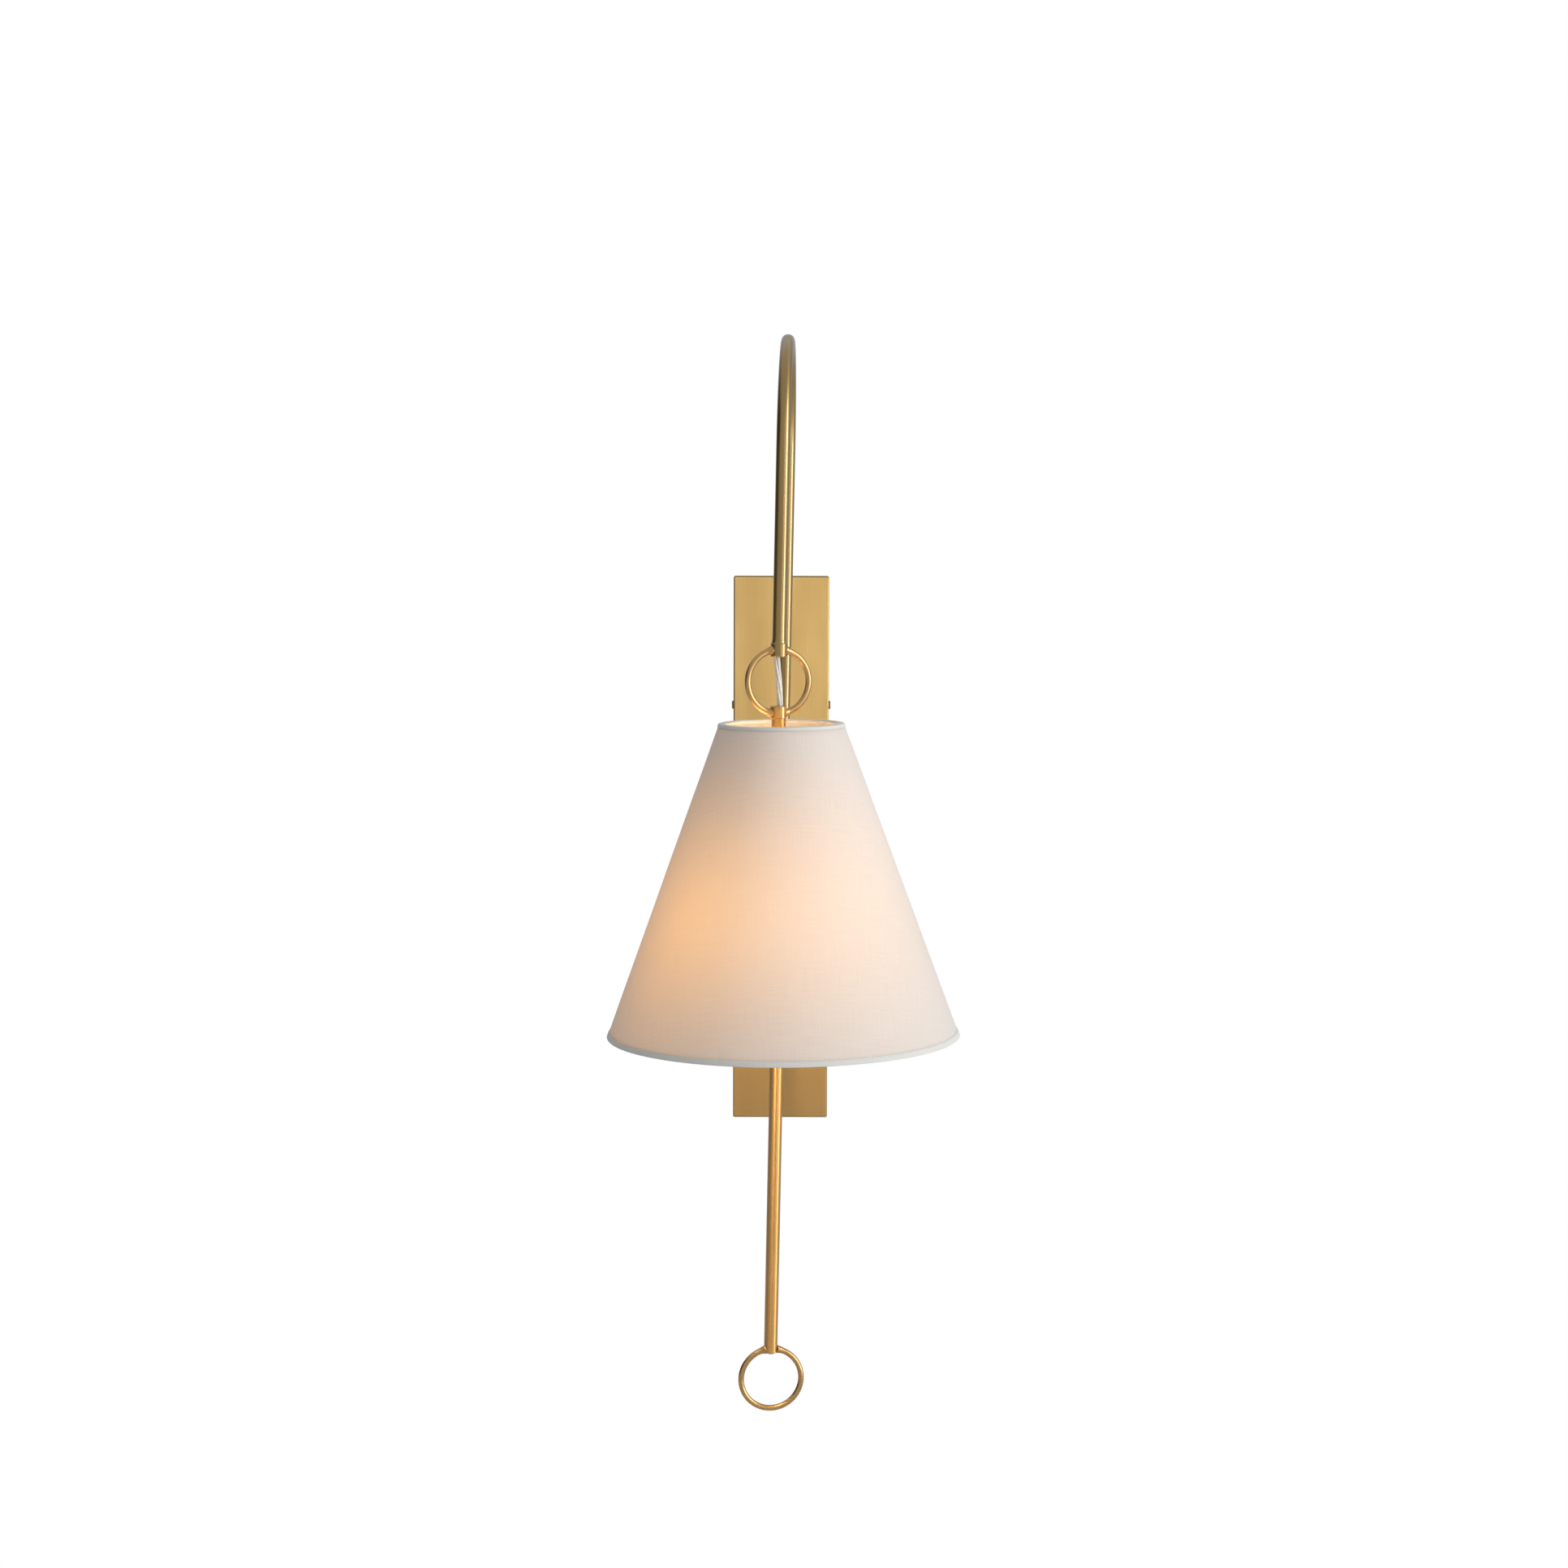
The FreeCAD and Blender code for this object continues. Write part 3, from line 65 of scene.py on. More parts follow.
SHADE_TOP, SHADE_BOTTOM = 112.6, -112.8
SHADE_TOP_RADIUS, SHADE_BOTTOM_RADIUS = 44.8, 127.0
LINEN_THICK = 0.72
LAYERS_THICK = 1.6
HEM_THICK = 0.5
TUBE_RADIUS = 4.9


def turned(degrees, axis):
    return Matrix.Rotation(math.radians(degrees), 4, axis)


def moved(x=0.0, y=0.0, z=0.0):
    return Matrix.Translation((x * MM, y * MM, z * MM))


ARM = turned(ARM_LEAN, "Y") @ moved(y=-STANDOFF) @ turned(ARM_SWING, "Z")
STEM = ARM @ moved(y=-REACH, z=LINK) @ turned(-SHADE_TILT, "Y") @ moved(z=-LINK)
SHADE = STEM @ moved(x=SHADE_SHIFT)

# ---- camera, floor, world and lights ------------------------------------------------------------

CAMERA_PLACE = Vector((-0.0021, -2.2820, 0.2619))
CAMERA_YAW, CAMERA_PITCH, CAMERA_ROLL = -0.1146, -5.3139, -0.1765
CAMERA_LENS = 66.536
SENSOR_WIDTH = 36
CLIP_NEAR, CLIP_FAR = 0.05, 100
LEVEL_VIEW = turned(90, "X")
FLOOR_DROP = 0.45
FLOOR_RADIUS = 2.6
FLOOR_SIDES = 96
FLOOR_GREY = 0.7

# How bright the studio is at each compass bearing, in degrees from the camera's side and growing
# to its right, above and below a shallow downward slope. Higher up, the studio is one plain grey.
SURROUNDINGS_HIGH = (
    (-180, 0.4), (-150, 0.4), (-115, 0.0), (-58, 0.0), (-50, 0.9), (-42, 0.25), (-25, 0.65),
    (0, 0.6), (30, 0.9), (58, 1.2), (65, 8.5), (75, 7.0), (83, 1.2), (120, 0.35), (180, 0.4))
SURROUNDINGS_LOW = (
    (-180, 0.5), (-120, 0.3), (-60, 0.7), (-20, 0.5), (10, 0.3), (30, 0.6), (37, 6.0),
    (44, 1.2), (80, 0.9), (120, 0.5), (180, 0.5))
LOW_SLOPE, HIGH_SLOPE = -0.16, -0.10
OVERHEAD = 0.6
OVERHEAD_FROM, OVERHEAD_FULL = 0.45, 0.65


def make_camera():
    data = bpy.data.cameras.new("camera")
    data.sensor_width = SENSOR_WIDTH
    data.lens = CAMERA_LENS
    data.clip_start, data.clip_end = CLIP_NEAR, CLIP_FAR
    camera = bpy.data.objects.new("camera", data)
    view = (turned(CAMERA_YAW, "Z") @ turned(CAMERA_PITCH, "X") @ turned(CAMERA_ROLL, "Y")
            @ LEVEL_VIEW)
    camera.matrix_world = Matrix.Translation(CAMERA_PLACE) @ view
    bpy.context.scene.collection.objects.link(camera)
    bpy.context.scene.camera = camera


def add_node(tree, kind, inputs=None, **settings):
    """A shader node with its inputs set to values or linked to other nodes' outputs."""
    made = tree.nodes.new("ShaderNode" + kind)
    for key, value in settings.items():
        setattr(made, key, value)
    for key, value in (inputs or {}).items():
        if isinstance(value, bpy.types.NodeSocket):
            tree.links.new(value, made.inputs[key])
        else:
            made.inputs[key].default_value = value
    return made


def sum_of(tree, operation, *values):
    """The output of a Math node, with its inputs in order."""
    return add_node(tree, "Math", dict(enumerate(values)), operation=operation).outputs[0]


def ramp_of(tree, value, stops, interpolation="LINEAR"):
    """A colour ramp's output. Each stop is a place from 0 to 1 and a colour or a grey."""
    made = add_node(tree, "ValToRGB", {"Fac": value})
    made.color_ramp.interpolation = interpolation
    elements = made.color_ramp.elements
    while len(elements) < len(stops):
        elements.new(0.5)
    for element, (place, colour) in zip(elements, stops):
        element.position = place
        element.color = (*colour, 1) if hasattr(colour, "__len__") else (colour,) * 3 + (1,)
    return made.outputs["Color"]


def mapped(tree, value, low, high, start=0.3, end=0.7):
    """value from start..end spread over low..high."""
    limits = {"From Min": start, "From Max": end, "To Min": low, "To Max": high}
    return add_node(tree, "MapRange", {"Value": value, **limits}).outputs[0]


def mixed_colour(tree, factor, first, second):
    made = add_node(tree, "Mix", data_type="RGBA")
    for index, value in ((0, factor), (6, first), (7, second)):
        if isinstance(value, bpy.types.NodeSocket):
            tree.links.new(value, made.inputs[index])
        else:
            made.inputs[index].default_value = (*value, 1) if index > 0 else value
    return made.outputs[2]


def make_world():
    """A plain studio of soft bright and dark bands, which the camera sees as plain white."""
    world = bpy.data.worlds.new("studio")
    bpy.context.scene.world = world
    world.use_nodes = True
    tree = world.node_tree
    tree.nodes.clear()
    direction = add_node(tree, "TexCoord").outputs["Generated"]
    parts = add_node(tree, "SeparateXYZ", {0: direction})
    away = sum_of(tree, "MULTIPLY", parts.outputs["Y"], -1.0)
    bearing = sum_of(tree, "ARCTAN2", parts.outputs["X"], away)
    turn = sum_of(tree, "MULTIPLY_ADD", bearing, 0.5 / math.pi, 0.5)
    high, low = (
        ramp_of(tree, turn, [(0.5 + degrees / 360, grey) for degrees, grey in stops])
        for stops in (SURROUNDINGS_HIGH, SURROUNDINGS_LOW))
    level = mapped(tree, parts.outputs["Z"], 0.0, 1.0, LOW_SLOPE, HIGH_SLOPE)
    beside = mixed_colour(tree, level, low, high)
    above = mapped(tree, parts.outputs["Z"], 0.0, 1.0, OVERHEAD_FROM, OVERHEAD_FULL)
    around = mixed_colour(tree, above, beside, (OVERHEAD,) * 3)
    seen = add_node(tree, "LightPath").outputs["Is Camera Ray"]
    lit = add_node(tree, "Background", {"Color": around, "Strength": 1.0})
    backdrop = add_node(tree, "Background", {"Color": (1, 1, 1, 1), "Strength": 1.0})
    mixed = add_node(tree, "MixShader", {0: seen, 1: lit.outputs[0], 2: backdrop.outputs[0]})
    add_node(tree, "OutputWorld", {"Surface": mixed.outputs[0]})


def make_floor():
    """A plain pale floor, round and well below the object."""
    low = cad_box[0].z - FLOOR_DROP
    mesh = bpy.data.meshes.new("floor")
    rim = [(FLOOR_RADIUS * math.cos(2 * math.pi * n / FLOOR_SIDES),
            FLOOR_RADIUS * math.sin(2 * math.pi * n / FLOOR_SIDES), low)
           for n in range(FLOOR_SIDES)]
    mesh.from_pydata(rim, [], [range(FLOOR_SIDES)])
    floor = bpy.data.objects.new("floor", mesh)
    bpy.context.scene.collection.objects.link(floor)
    mesh.materials.append(floor_material())


def floor_material():
    """Pale matt paper, exposed to plain white as the photographer does."""
    material = bpy.data.materials.new("floor")
    material.use_nodes = True
    tree = material.node_tree
    matt = tree.nodes["Principled BSDF"]
    matt.inputs["Base Color"].default_value = (FLOOR_GREY, FLOOR_GREY, FLOOR_GREY, 1)
    matt.inputs["Roughness"].default_value = 0.9
    seen = add_node(tree, "LightPath").outputs["Is Camera Ray"]
    white = add_node(tree, "Emission", {"Color": (1, 1, 1, 1), "Strength": 1.0})
    mixed = add_node(tree, "MixShader", {0: seen, 1: matt.outputs[0], 2: white.outputs[0]})
    tree.links.new(mixed.outputs[0], tree.nodes["Material Output"].inputs["Surface"])
    return material


WARM = (1.0, 0.70, 0.40)
BULB_CENTRE = Vector((-0.9, -210.0, -8.9)) * MM
BULB_RADIUS = 0.0315
BULB_POWER = 1.4
SPILL_CENTRE = Vector((-46.0, -214.0, -82.0)) * MM
SPILL_RADIUS = 0.022
SPILL_POWER = 1.6


def make_lights():
    """The lamp's own warm light, which moves with the arm. The bulb's glass would block a light
    inside it, so one surrounds it, and another stands for its light on the rod below the shade."""
    for name, place, radius, power in (
            ("bulb_light", BULB_CENTRE, BULB_RADIUS, BULB_POWER),
            ("spill_light", SPILL_CENTRE, SPILL_RADIUS, SPILL_POWER)):
        data = bpy.data.lights.new(name, "POINT")
        data.energy = power
        data.color = WARM
        data.shadow_soft_size = radius
        light = bpy.data.objects.new(name, data)
        light.location = place
        light.visible_camera = False
        bpy.context.scene.collection.objects.link(light)
        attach(light, "swing_arm")


# ---- materials ----------------------------------------------------------------------------------

def new_material(name, **sockets):
    """A material and the plain values of its Principled shader, named as its sockets are."""
    material = bpy.data.materials.new(name)
    material.use_nodes = True
    surface = material.node_tree.nodes["Principled BSDF"]
    for key, value in sockets.items():
        surface.inputs[key.replace("_", " ")].default_value = value
    return material, material.node_tree, surface


def place_of(tree, space, scale):
    """Where a point is in Object or UV space, multiplied by scale along each axis."""
    place = add_node(tree, "TexCoord").outputs[space]
    return add_node(tree, "VectorMath", {0: place, 1: scale}, operation="MULTIPLY").outputs[0]


def noise_of(tree, space, scale, detail=3.0, seed=0.0):
    """Noise from 0 to 1, with this many features to the metre along each axis."""
    return add_node(tree, "TexNoise", {
        "Vector": place_of(tree, space, scale), "Scale": 1.0, "Detail": detail, "W": seed},
        noise_dimensions="4D").outputs["Fac"]


def bumped(tree, surface, height, distance, strength=1.0):
    made = add_node(tree, "Bump", {"Height": height, "Distance": distance, "Strength": strength})
    tree.links.new(made.outputs[0], surface.inputs["Normal"])


LACQUER_ROUGHNESS = 0.12
PATCHES = (28, 28, 14)
LINE_POLISH, PATCH_POLISH = 0.04, 0.03
FOOT_LOW, FOOT_HIGH = -0.18, -0.02
# Painted shade colour for the plate's rounded edges, where its front turns into its sides.
EDGE_PAINTED_SHADE = (0.40, 0.25, 0.08)
EDGE_BEGINS, EDGE_FULL = -0.985, -0.93


def brushed_brass(name, colour, shade, roughness, grain, smear=None, stretch=0.0, lacquer=0.4,
                  metal=1.0, bump=0.00001, edges=None, low_shadow=None, uneven=1.0):
    """Satin brass under clear lacquer, with a fine grain and uneven polish. stretch is how much
    its highlights are drawn out along the axis smear. edges is the roughness where a plate's front
    turns into its sides, where the colour is darkened as a painted shade of the rounded edge. The
    colour that darkens a plate towards its lower end is a painted shadow, and uneven how much the
    polish varies."""
    material, tree, surface = new_material(
        name, Metallic=metal, Coat_Weight=lacquer, Coat_Roughness=LACQUER_ROUGHNESS,
        Anisotropic=stretch)
    lines = noise_of(tree, "Object", grain, 4.0)
    patches = noise_of(tree, "Object", PATCHES, 2.0, 3.0)
    # Painted shadow: the colour darkens towards the plate's lower end, where the lamp shade shadows
    # it.
    if low_shadow:
        place = add_node(tree, "SeparateXYZ", {0: add_node(tree, "TexCoord").outputs["Object"]})
        shadowed_low = mapped(tree, place.outputs["Z"], 1.0, 0.0, FOOT_LOW, FOOT_HIGH)
        colour, shade = (mixed_colour(tree, shadowed_low, tone, low_shadow) for tone in (colour, shade))
    worn = mixed_colour(tree, mapped(tree, patches, 0.0, 1.0), colour, shade)
    streaked = mixed_colour(tree, mapped(tree, lines, 0.0, 0.5), worn, shade)
    # Painted shade: the colour darkens where the front turns into the sides, at the rounded edges.
    if edges:
        facing = add_node(tree, "SeparateXYZ", {0: add_node(tree, "TexCoord").outputs["Normal"]})
        edge_shade_mask = mapped(tree, facing.outputs["Y"], 0.0, 1.0, EDGE_BEGINS, EDGE_FULL)
        streaked = mixed_colour(tree, edge_shade_mask, streaked, EDGE_PAINTED_SHADE)
        roughness = sum_of(tree, "MULTIPLY_ADD", edge_shade_mask, edges - roughness, roughness)
    tree.links.new(streaked, surface.inputs["Base Color"])
    by_line, by_patch = (
        mapped(tree, pattern, -polish * uneven, polish * uneven)
        for pattern, polish in ((lines, LINE_POLISH), (patches, PATCH_POLISH)))
    change = sum_of(tree, "ADD", by_line, by_patch)
    tree.links.new(sum_of(tree, "ADD", change, roughness), surface.inputs["Roughness"])
    if smear:
        direction = add_node(tree, "CombineXYZ", dict(enumerate(smear)))
        tree.links.new(direction.outputs[0], surface.inputs["Tangent"])
    if bump:
        bumped(tree, surface, lines, bump)
    return material


SPECKLE_POLISH = 0.06


def speckled(name, colour, shade, roughness, scale, bump=0.00002, **sockets):
    """A moulded, plated or dipped surface with a fine irregular grain."""
    material, tree, surface = new_material(name, **sockets)
    grain = noise_of(tree, "Object", (scale,) * 3, 4.0)
    tree.links.new(mixed_colour(tree, mapped(tree, grain, 0.0, 1.0), colour, shade),
                   surface.inputs["Base Color"])
    polish = mapped(tree, grain, roughness - SPECKLE_POLISH, roughness + SPECKLE_POLISH)
    tree.links.new(polish, surface.inputs["Roughness"])
    bumped(tree, surface, grain, bump)
    return material


GLOW_CENTRE = Vector((-74.8, -284.4, -13.4)) * MM
GLOW_REACH = Vector((150.0, 84.0, 92.0)) * MM
GLOW_EDGE = 2.5
GLOW_NEAR = (0.66, 0.27, 0.01)
GLOW_FAR = (0.03, 0.02, 0.016)


def glow_of(tree, gain):
    """The colour and strength of a painted glow of lamp light through the shade: deep and strong
    nearest a point left of and in front of the bulb, weak and paler far from it."""
    place = add_node(tree, "TexCoord").outputs["Object"]
    from_centre = add_node(tree, "VectorMath", {0: place, 1: GLOW_CENTRE}, operation="SUBTRACT")
    shares = add_node(tree, "VectorMath", {0: from_centre.outputs[0], 1: GLOW_REACH},
                      operation="DIVIDE")
    length = add_node(tree, "VectorMath", {0: shares.outputs[0]}, operation="LENGTH")
    share = length.outputs["Value"]
    half_square = sum_of(tree, "MULTIPLY", sum_of(tree, "MULTIPLY", share, share), -0.5)
    tint = ramp_of(tree, sum_of(tree, "DIVIDE", share, GLOW_EDGE),
                   ((0.0, GLOW_NEAR), (1.0, GLOW_FAR)))
    return tint, sum_of(tree, "MULTIPLY", sum_of(tree, "EXPONENT", half_square), gain)


# Threads, slubs and so on to the metre of cloth, across its flat cut and along it.
WARP, WEFT = (1500, 40, 1), (40, 1500, 1)
SLUBS, FLECKS, CLOUDS = (35, 700, 1), (420, 620, 1), (9, 9, 1)
LINT = (0.32, 0.26, 0.20)
WEAVE_RISE, WEAVE_STRENGTH = 0.00012, 0.6


def linen(name, colour, shade, glow):
    """Plain-woven linen. Its UV map is the cloth's flat cut, in metres."""
    material, tree, surface = new_material(name, Roughness=0.9, Sheen_Weight=0.15)
    warp = noise_of(tree, "UV", WARP, 2.0)
    weft = noise_of(tree, "UV", WEFT, 2.0, 5.0)
    threads = sum_of(tree, "ADD", warp, weft)
    slubs = noise_of(tree, "UV", SLUBS, 2.0, 9.0)
    lint = noise_of(tree, "UV", FLECKS, 1.0, 14.0)
    cloudy = noise_of(tree, "UV", CLOUDS, 3.0, 21.0)
    body = mixed_colour(tree, mapped(tree, threads, 0.0, 0.5, 0.8, 1.2), colour, shade)
    slubbed = mixed_colour(tree, mapped(tree, slubs, 0.0, 0.35, 0.58, 0.74), body, shade)
    flecks = mapped(tree, lint, 0.0, 0.5, 0.80, 0.86)
    flecked = mixed_colour(tree, flecks, slubbed, LINT)
    tree.links.new(mixed_colour(tree, mapped(tree, cloudy, 0.0, 0.25), flecked, shade),
                   surface.inputs["Base Color"])
    rise = sum_of(tree, "ADD", threads, slubs)
    bumped(tree, surface, rise, WEAVE_RISE, WEAVE_STRENGTH)
    # A painted glow of lamp light through the cloth, stronger where the cloth is thinner.
    if glow:
        tint, fall = glow_of(tree, glow)
        weight = sum_of(tree, "ADD", threads, mapped(tree, cloudy, -0.1, 0.1))
        thin = mapped(tree, weight, 1.06, 0.94, 0.7, 1.3)
        tree.links.new(tint, surface.inputs["Emission Color"])
        tree.links.new(sum_of(tree, "MULTIPLY", fall, thin), surface.inputs["Emission Strength"])
    return material


LINER_WHITE, LINER_DULL = (0.62, 0.59, 0.56), (0.56, 0.53, 0.50)
LINER_GLOW = 0.6
LINER_FIBRES = (300, 300, 300)


def lit_liner():
    """The shade's smooth white lining, warm with a painted glow of lamp light besides the lamp's
    real light.
    """
    material, tree, surface = new_material("lit_liner")
    fibres = noise_of(tree, "Object", LINER_FIBRES, 3.0)
    tree.links.new(mixed_colour(tree, mapped(tree, fibres, 0.0, 1.0), LINER_WHITE, LINER_DULL),
                   surface.inputs["Base Color"])
    tree.links.new(mapped(tree, fibres, 0.5, 0.62), surface.inputs["Roughness"])
    tint, fall = glow_of(tree, LINER_GLOW)
    tree.links.new(tint, surface.inputs["Emission Color"])
    tree.links.new(fall, surface.inputs["Emission Strength"])
    bumped(tree, surface, fibres, 0.00003)
    return material


GLASS_GLOW = (1.0, 0.78, 0.48, 1)
BALL_GLOW, NECK_GLOW = 3.2, 0.8
BALL_REACH, NECK_REACH = 0.028, 0.062


def lit_glass():
    """Frosted bulb glass, lit from inside: brightest at the ball, dimmer at the neck."""
    material, tree, surface = new_material("lit_glass", Roughness=0.35)
    place = add_node(tree, "TexCoord").outputs["Object"]
    apart = add_node(tree, "VectorMath", {0: place, 1: BULB_CENTRE}, operation="DISTANCE")
    frost = noise_of(tree, "Object", (900, 900, 900), 2.0)
    tree.links.new(mixed_colour(tree, frost, (0.9, 0.87, 0.82), (0.8, 0.76, 0.7)),
                   surface.inputs["Base Color"])
    surface.inputs["Emission Color"].default_value = GLASS_GLOW
    glow = mapped(tree, apart.outputs["Value"], BALL_GLOW, NECK_GLOW, BALL_REACH, NECK_REACH)
    tree.links.new(glow, surface.inputs["Emission Strength"])
    return material


WIRE_ACROSS, WIRE_ALONG = 5200, 2600
# The last colour is a painted shade for the core between the strands.
WIRE_DIM, WIRE_BRIGHT, STRAND_GAP_SHADE = (0.80, 0.78, 0.73), (1.0, 0.98, 0.94), (0.10, 0.085, 0.06)


def twisted_silver():
    """Tinned copper strands: fine bright wires with dark gaps, running aslant. The core between
    the strands, whose flat places lie left of zero, is painted dark as shade between the strands."""
    material, tree, surface = new_material("twisted_silver", Metallic=0.15)
    flat = place_of(tree, "UV", (WIRE_ACROSS, WIRE_ALONG, 1))
    place = add_node(tree, "SeparateXYZ", {0: flat})
    aslant = sum_of(tree, "ADD", place.outputs["X"], place.outputs["Y"])
    wires = sum_of(tree, "MULTIPLY_ADD", sum_of(tree, "SINE", aslant), 0.5, 0.5)
    metal = mixed_colour(tree, wires, WIRE_DIM, WIRE_BRIGHT)
    between = sum_of(tree, "LESS_THAN", place.outputs["X"], 0.0)
    tree.links.new(mixed_colour(tree, between, metal, STRAND_GAP_SHADE), surface.inputs["Base Color"])
    tree.links.new(mapped(tree, wires, 0.5, 0.35, 0.0, 1.0), surface.inputs["Roughness"])
    bumped(tree, surface, wires, 0.00008)
    return material


def clear_jacket():
    """Clear flexible insulation, a little cloudy."""
    material, tree, surface = new_material("clear_jacket", IOR=1.12, Transmission_Weight=1.0)
    haze = noise_of(tree, "Object", (160, 160, 60), 2.0)
    tree.links.new(mixed_colour(tree, haze, (1.0, 0.99, 0.97), (0.96, 0.95, 0.92)),
                   surface.inputs["Base Color"])
    tree.links.new(mapped(tree, haze, 0.02, 0.08), surface.inputs["Roughness"])
    return material


ACROSS_PLATE, UP_TUBE = (1, 0, 0), (0, 0, 1)
TUBE_GRAIN = (700, 700, 6)
PLATE_BRASS = (1.0, 0.71, 0.29)
PLATE_SHADE = (0.90, 0.625, 0.24)
# Painted shadow colour for the plate's lower end, under the lamp shade.
PLATE_PAINTED_SHADOW = (0.58, 0.38, 0.15)
BRASS = (0.41, 0.27, 0.09)
BRASS_SHADE = (0.35, 0.225, 0.07)
# Brass painted brighter and redder: painted warm lamp light on the rod, stem and lower collar.
LAMP_LIT_BRASS = (0.76, 0.43, 0.125)
LAMP_LIT_BRASS_SHADE = (0.66, 0.36, 0.10)
RING_BRASS = (0.58, 0.35, 0.135)
RING_SHADE = (0.55, 0.33, 0.125)


def make_materials():
    """A material for each of the record's slots, and a brass painted brighter and redder with warm
    lamp light.
    """
    return {
        "plate_brass": brushed_brass(
            "plate_brass_grain", PLATE_BRASS, PLATE_SHADE, 0.62, (1100, 1100, 22), ACROSS_PLATE,
            0.9, 0.0, 0.9, edges=0.2, low_shadow=PLATE_PAINTED_SHADOW),
        "arm_brass": brushed_brass(
            "arm_brass_satin", BRASS, BRASS_SHADE, 0.34, TUBE_GRAIN, UP_TUBE, 0.7, 1.0,
            bump=0.0, uneven=0.2),
        "rod_brass": brushed_brass(
            "lamp_lit_brass_satin", LAMP_LIT_BRASS, LAMP_LIT_BRASS_SHADE, 0.36, TUBE_GRAIN, UP_TUBE, 0.85, 0.9,
            bump=0.0, uneven=0.2),
        "ring_brass": brushed_brass(
            "ring_brass_satin", RING_BRASS, RING_SHADE, 0.33, (150, 150, 150), bump=0.0,
            uneven=0.1),
        "screw_brass": brushed_brass(
            "screw_brass_worn", (0.62, 0.34, 0.12), (0.34, 0.17, 0.06), 0.32, (600, 600, 600)),
        "socket_brass": brushed_brass(
            "socket_brass_rolled", (0.78, 0.58, 0.26), (0.66, 0.44, 0.16), 0.25, (200, 200, 900)),
        "zinc_steel": speckled(
            "zinc_plated", (0.62, 0.63, 0.62), (0.50, 0.50, 0.47), 0.36, 260, Metallic=1.0),
        "dark_steel": speckled(
            "blackened_steel", (0.06, 0.06, 0.065), (0.03, 0.03, 0.03), 0.4, 500, Metallic=0.8),
        "ground_green": speckled(
            "green_lacquer", (0.02, 0.22, 0.07), (0.015, 0.16, 0.05), 0.35, 420),
        "bush_polymer": speckled(
            "bush_moulded", (0.80, 0.78, 0.70), (0.70, 0.68, 0.60), 0.5, 700),
        "cord_jacket": clear_jacket(),
        "lead_jacket": speckled(
            "lead_sleeving", (0.75, 0.73, 0.68), (0.60, 0.58, 0.52), 0.45, 600),
        "wire_nut": speckled("nut_moulded", (0.70, 0.26, 0.04), (0.60, 0.20, 0.03), 0.4, 500),
        "shade_linen": linen(
            "shade_linen_woven", (0.67, 0.645, 0.62), (0.60, 0.57, 0.54), glow=1.0),
        "hem_linen": linen("hem_linen_woven", (0.71, 0.70, 0.67), (0.64, 0.63, 0.60), glow=0.0),
        "shade_liner": lit_liner(),
        "shade_wire": speckled("white_enamel", (0.80, 0.79, 0.76), (0.70, 0.69, 0.65), 0.35, 300),
        "fibre_sleeve": speckled(
            "pressed_fibre", (0.46, 0.36, 0.24), (0.34, 0.26, 0.17), 0.8, 900),
        "moulded_black": speckled(
            "moulded_black_resin", (0.03, 0.03, 0.03), (0.015, 0.015, 0.015), 0.4, 800),
        "bulb_glass": lit_glass(),
        "bulb_metal": speckled(
            "bulb_shell", (0.72, 0.70, 0.66), (0.60, 0.57, 0.52), 0.3, 500, Metallic=1.0),
        "filament": speckled(
            "filament_coating", (0.80, 0.62, 0.24), (0.68, 0.50, 0.16), 0.5, 900),
    }


# ---- mesh building ------------------------------------------------------------------------------

def lofted(name, rows, flat_rows, place, closed):
    """A closed surface through rows of points, each row a loop. flat_rows gives its UV map and has
    one more point in each row, and one more row if the surface closes on itself."""
    count, width = len(rows), len(rows[0])
    mesh = bpy.data.meshes.new(name)
    faces, corners = [], []
    for i in range(count if closed else count - 1):
        for j in range(width):
            following = (j + 1) % width
            faces.append([i * width + j, i * width + following,
                          (i + 1) % count * width + following, (i + 1) % count * width + j])
            corners.append([(i, j), (i, j + 1), (i + 1, j + 1), (i + 1, j)])
    if not closed:
        for i, order in ((0, list(reversed(range(width)))), (count - 1, list(range(width)))):
            faces.append([i * width + j for j in order])
            corners.append([(i, j) for j in order])
    mesh.from_pydata([place @ Vector(point) for row in rows for point in row], [], faces)
    layer = mesh.uv_layers.new(name="flat").data
    for polygon, ends in zip(mesh.polygons, corners):
        for loop, (i, j) in zip(polygon.loop_indices, ends):
            layer[loop].uv = flat_rows[i][j]
        polygon.use_smooth = len(polygon.vertices) == 4
    mesh.update()
    made = bpy.data.objects.new(name, mesh)
    bpy.context.scene.collection.objects.link(made)
    return made


def finished(made, material, body, replaced=()):
    """Gives a piece its material, the body it rides on and the nodes it stands for."""
    made.data.materials.append(material)
    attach(made, body)
    if replaced:
        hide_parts(*replaced)
    return made


def tube_rows(points, radius_at, sides):
    """Rows of a tube through points. radius_at(number, angle) gives its radius in metres."""
    rows, flat = [], []
    along = 0.0
    side = Vector((0, 1, 0))
    for number, point in enumerate(points):
        before, after = points[max(number - 1, 0)], points[min(number + 1, len(points) - 1)]
        tangent = (after - before).normalized()
        side = (side - tangent * side.dot(tangent)).normalized()
        other = tangent.cross(side)
        row = []
        for n in range(sides):
            angle = 2 * math.pi * n / sides
            outward = side * math.cos(angle) + other * math.sin(angle)
            row.append(point + outward * radius_at(number, angle))
        along += (point - points[max(number - 1, 0)]).length
        rows.append(row)
        mean = radius_at(number, 0.0)
        flat.append([(mean * 2 * math.pi * n / sides, along) for n in range(sides + 1)])
    return rows, flat


# ---- brazed rings -------------------------------------------------------------------------------

RING_WIRE = 4.5
RING_STEPS = 150
RING_SIDES = 28
BRAZE_RISE = 1.35
BRAZE_FULL = 1.0
BRAZE_RUN = 2.3
BRAZE_FALL = 1.4
RING_ROUGH, BRAZE_ROUGH = 0.004, 0.26
LUMPS_ALONG, LUMPS_AROUND = 380, 0.9


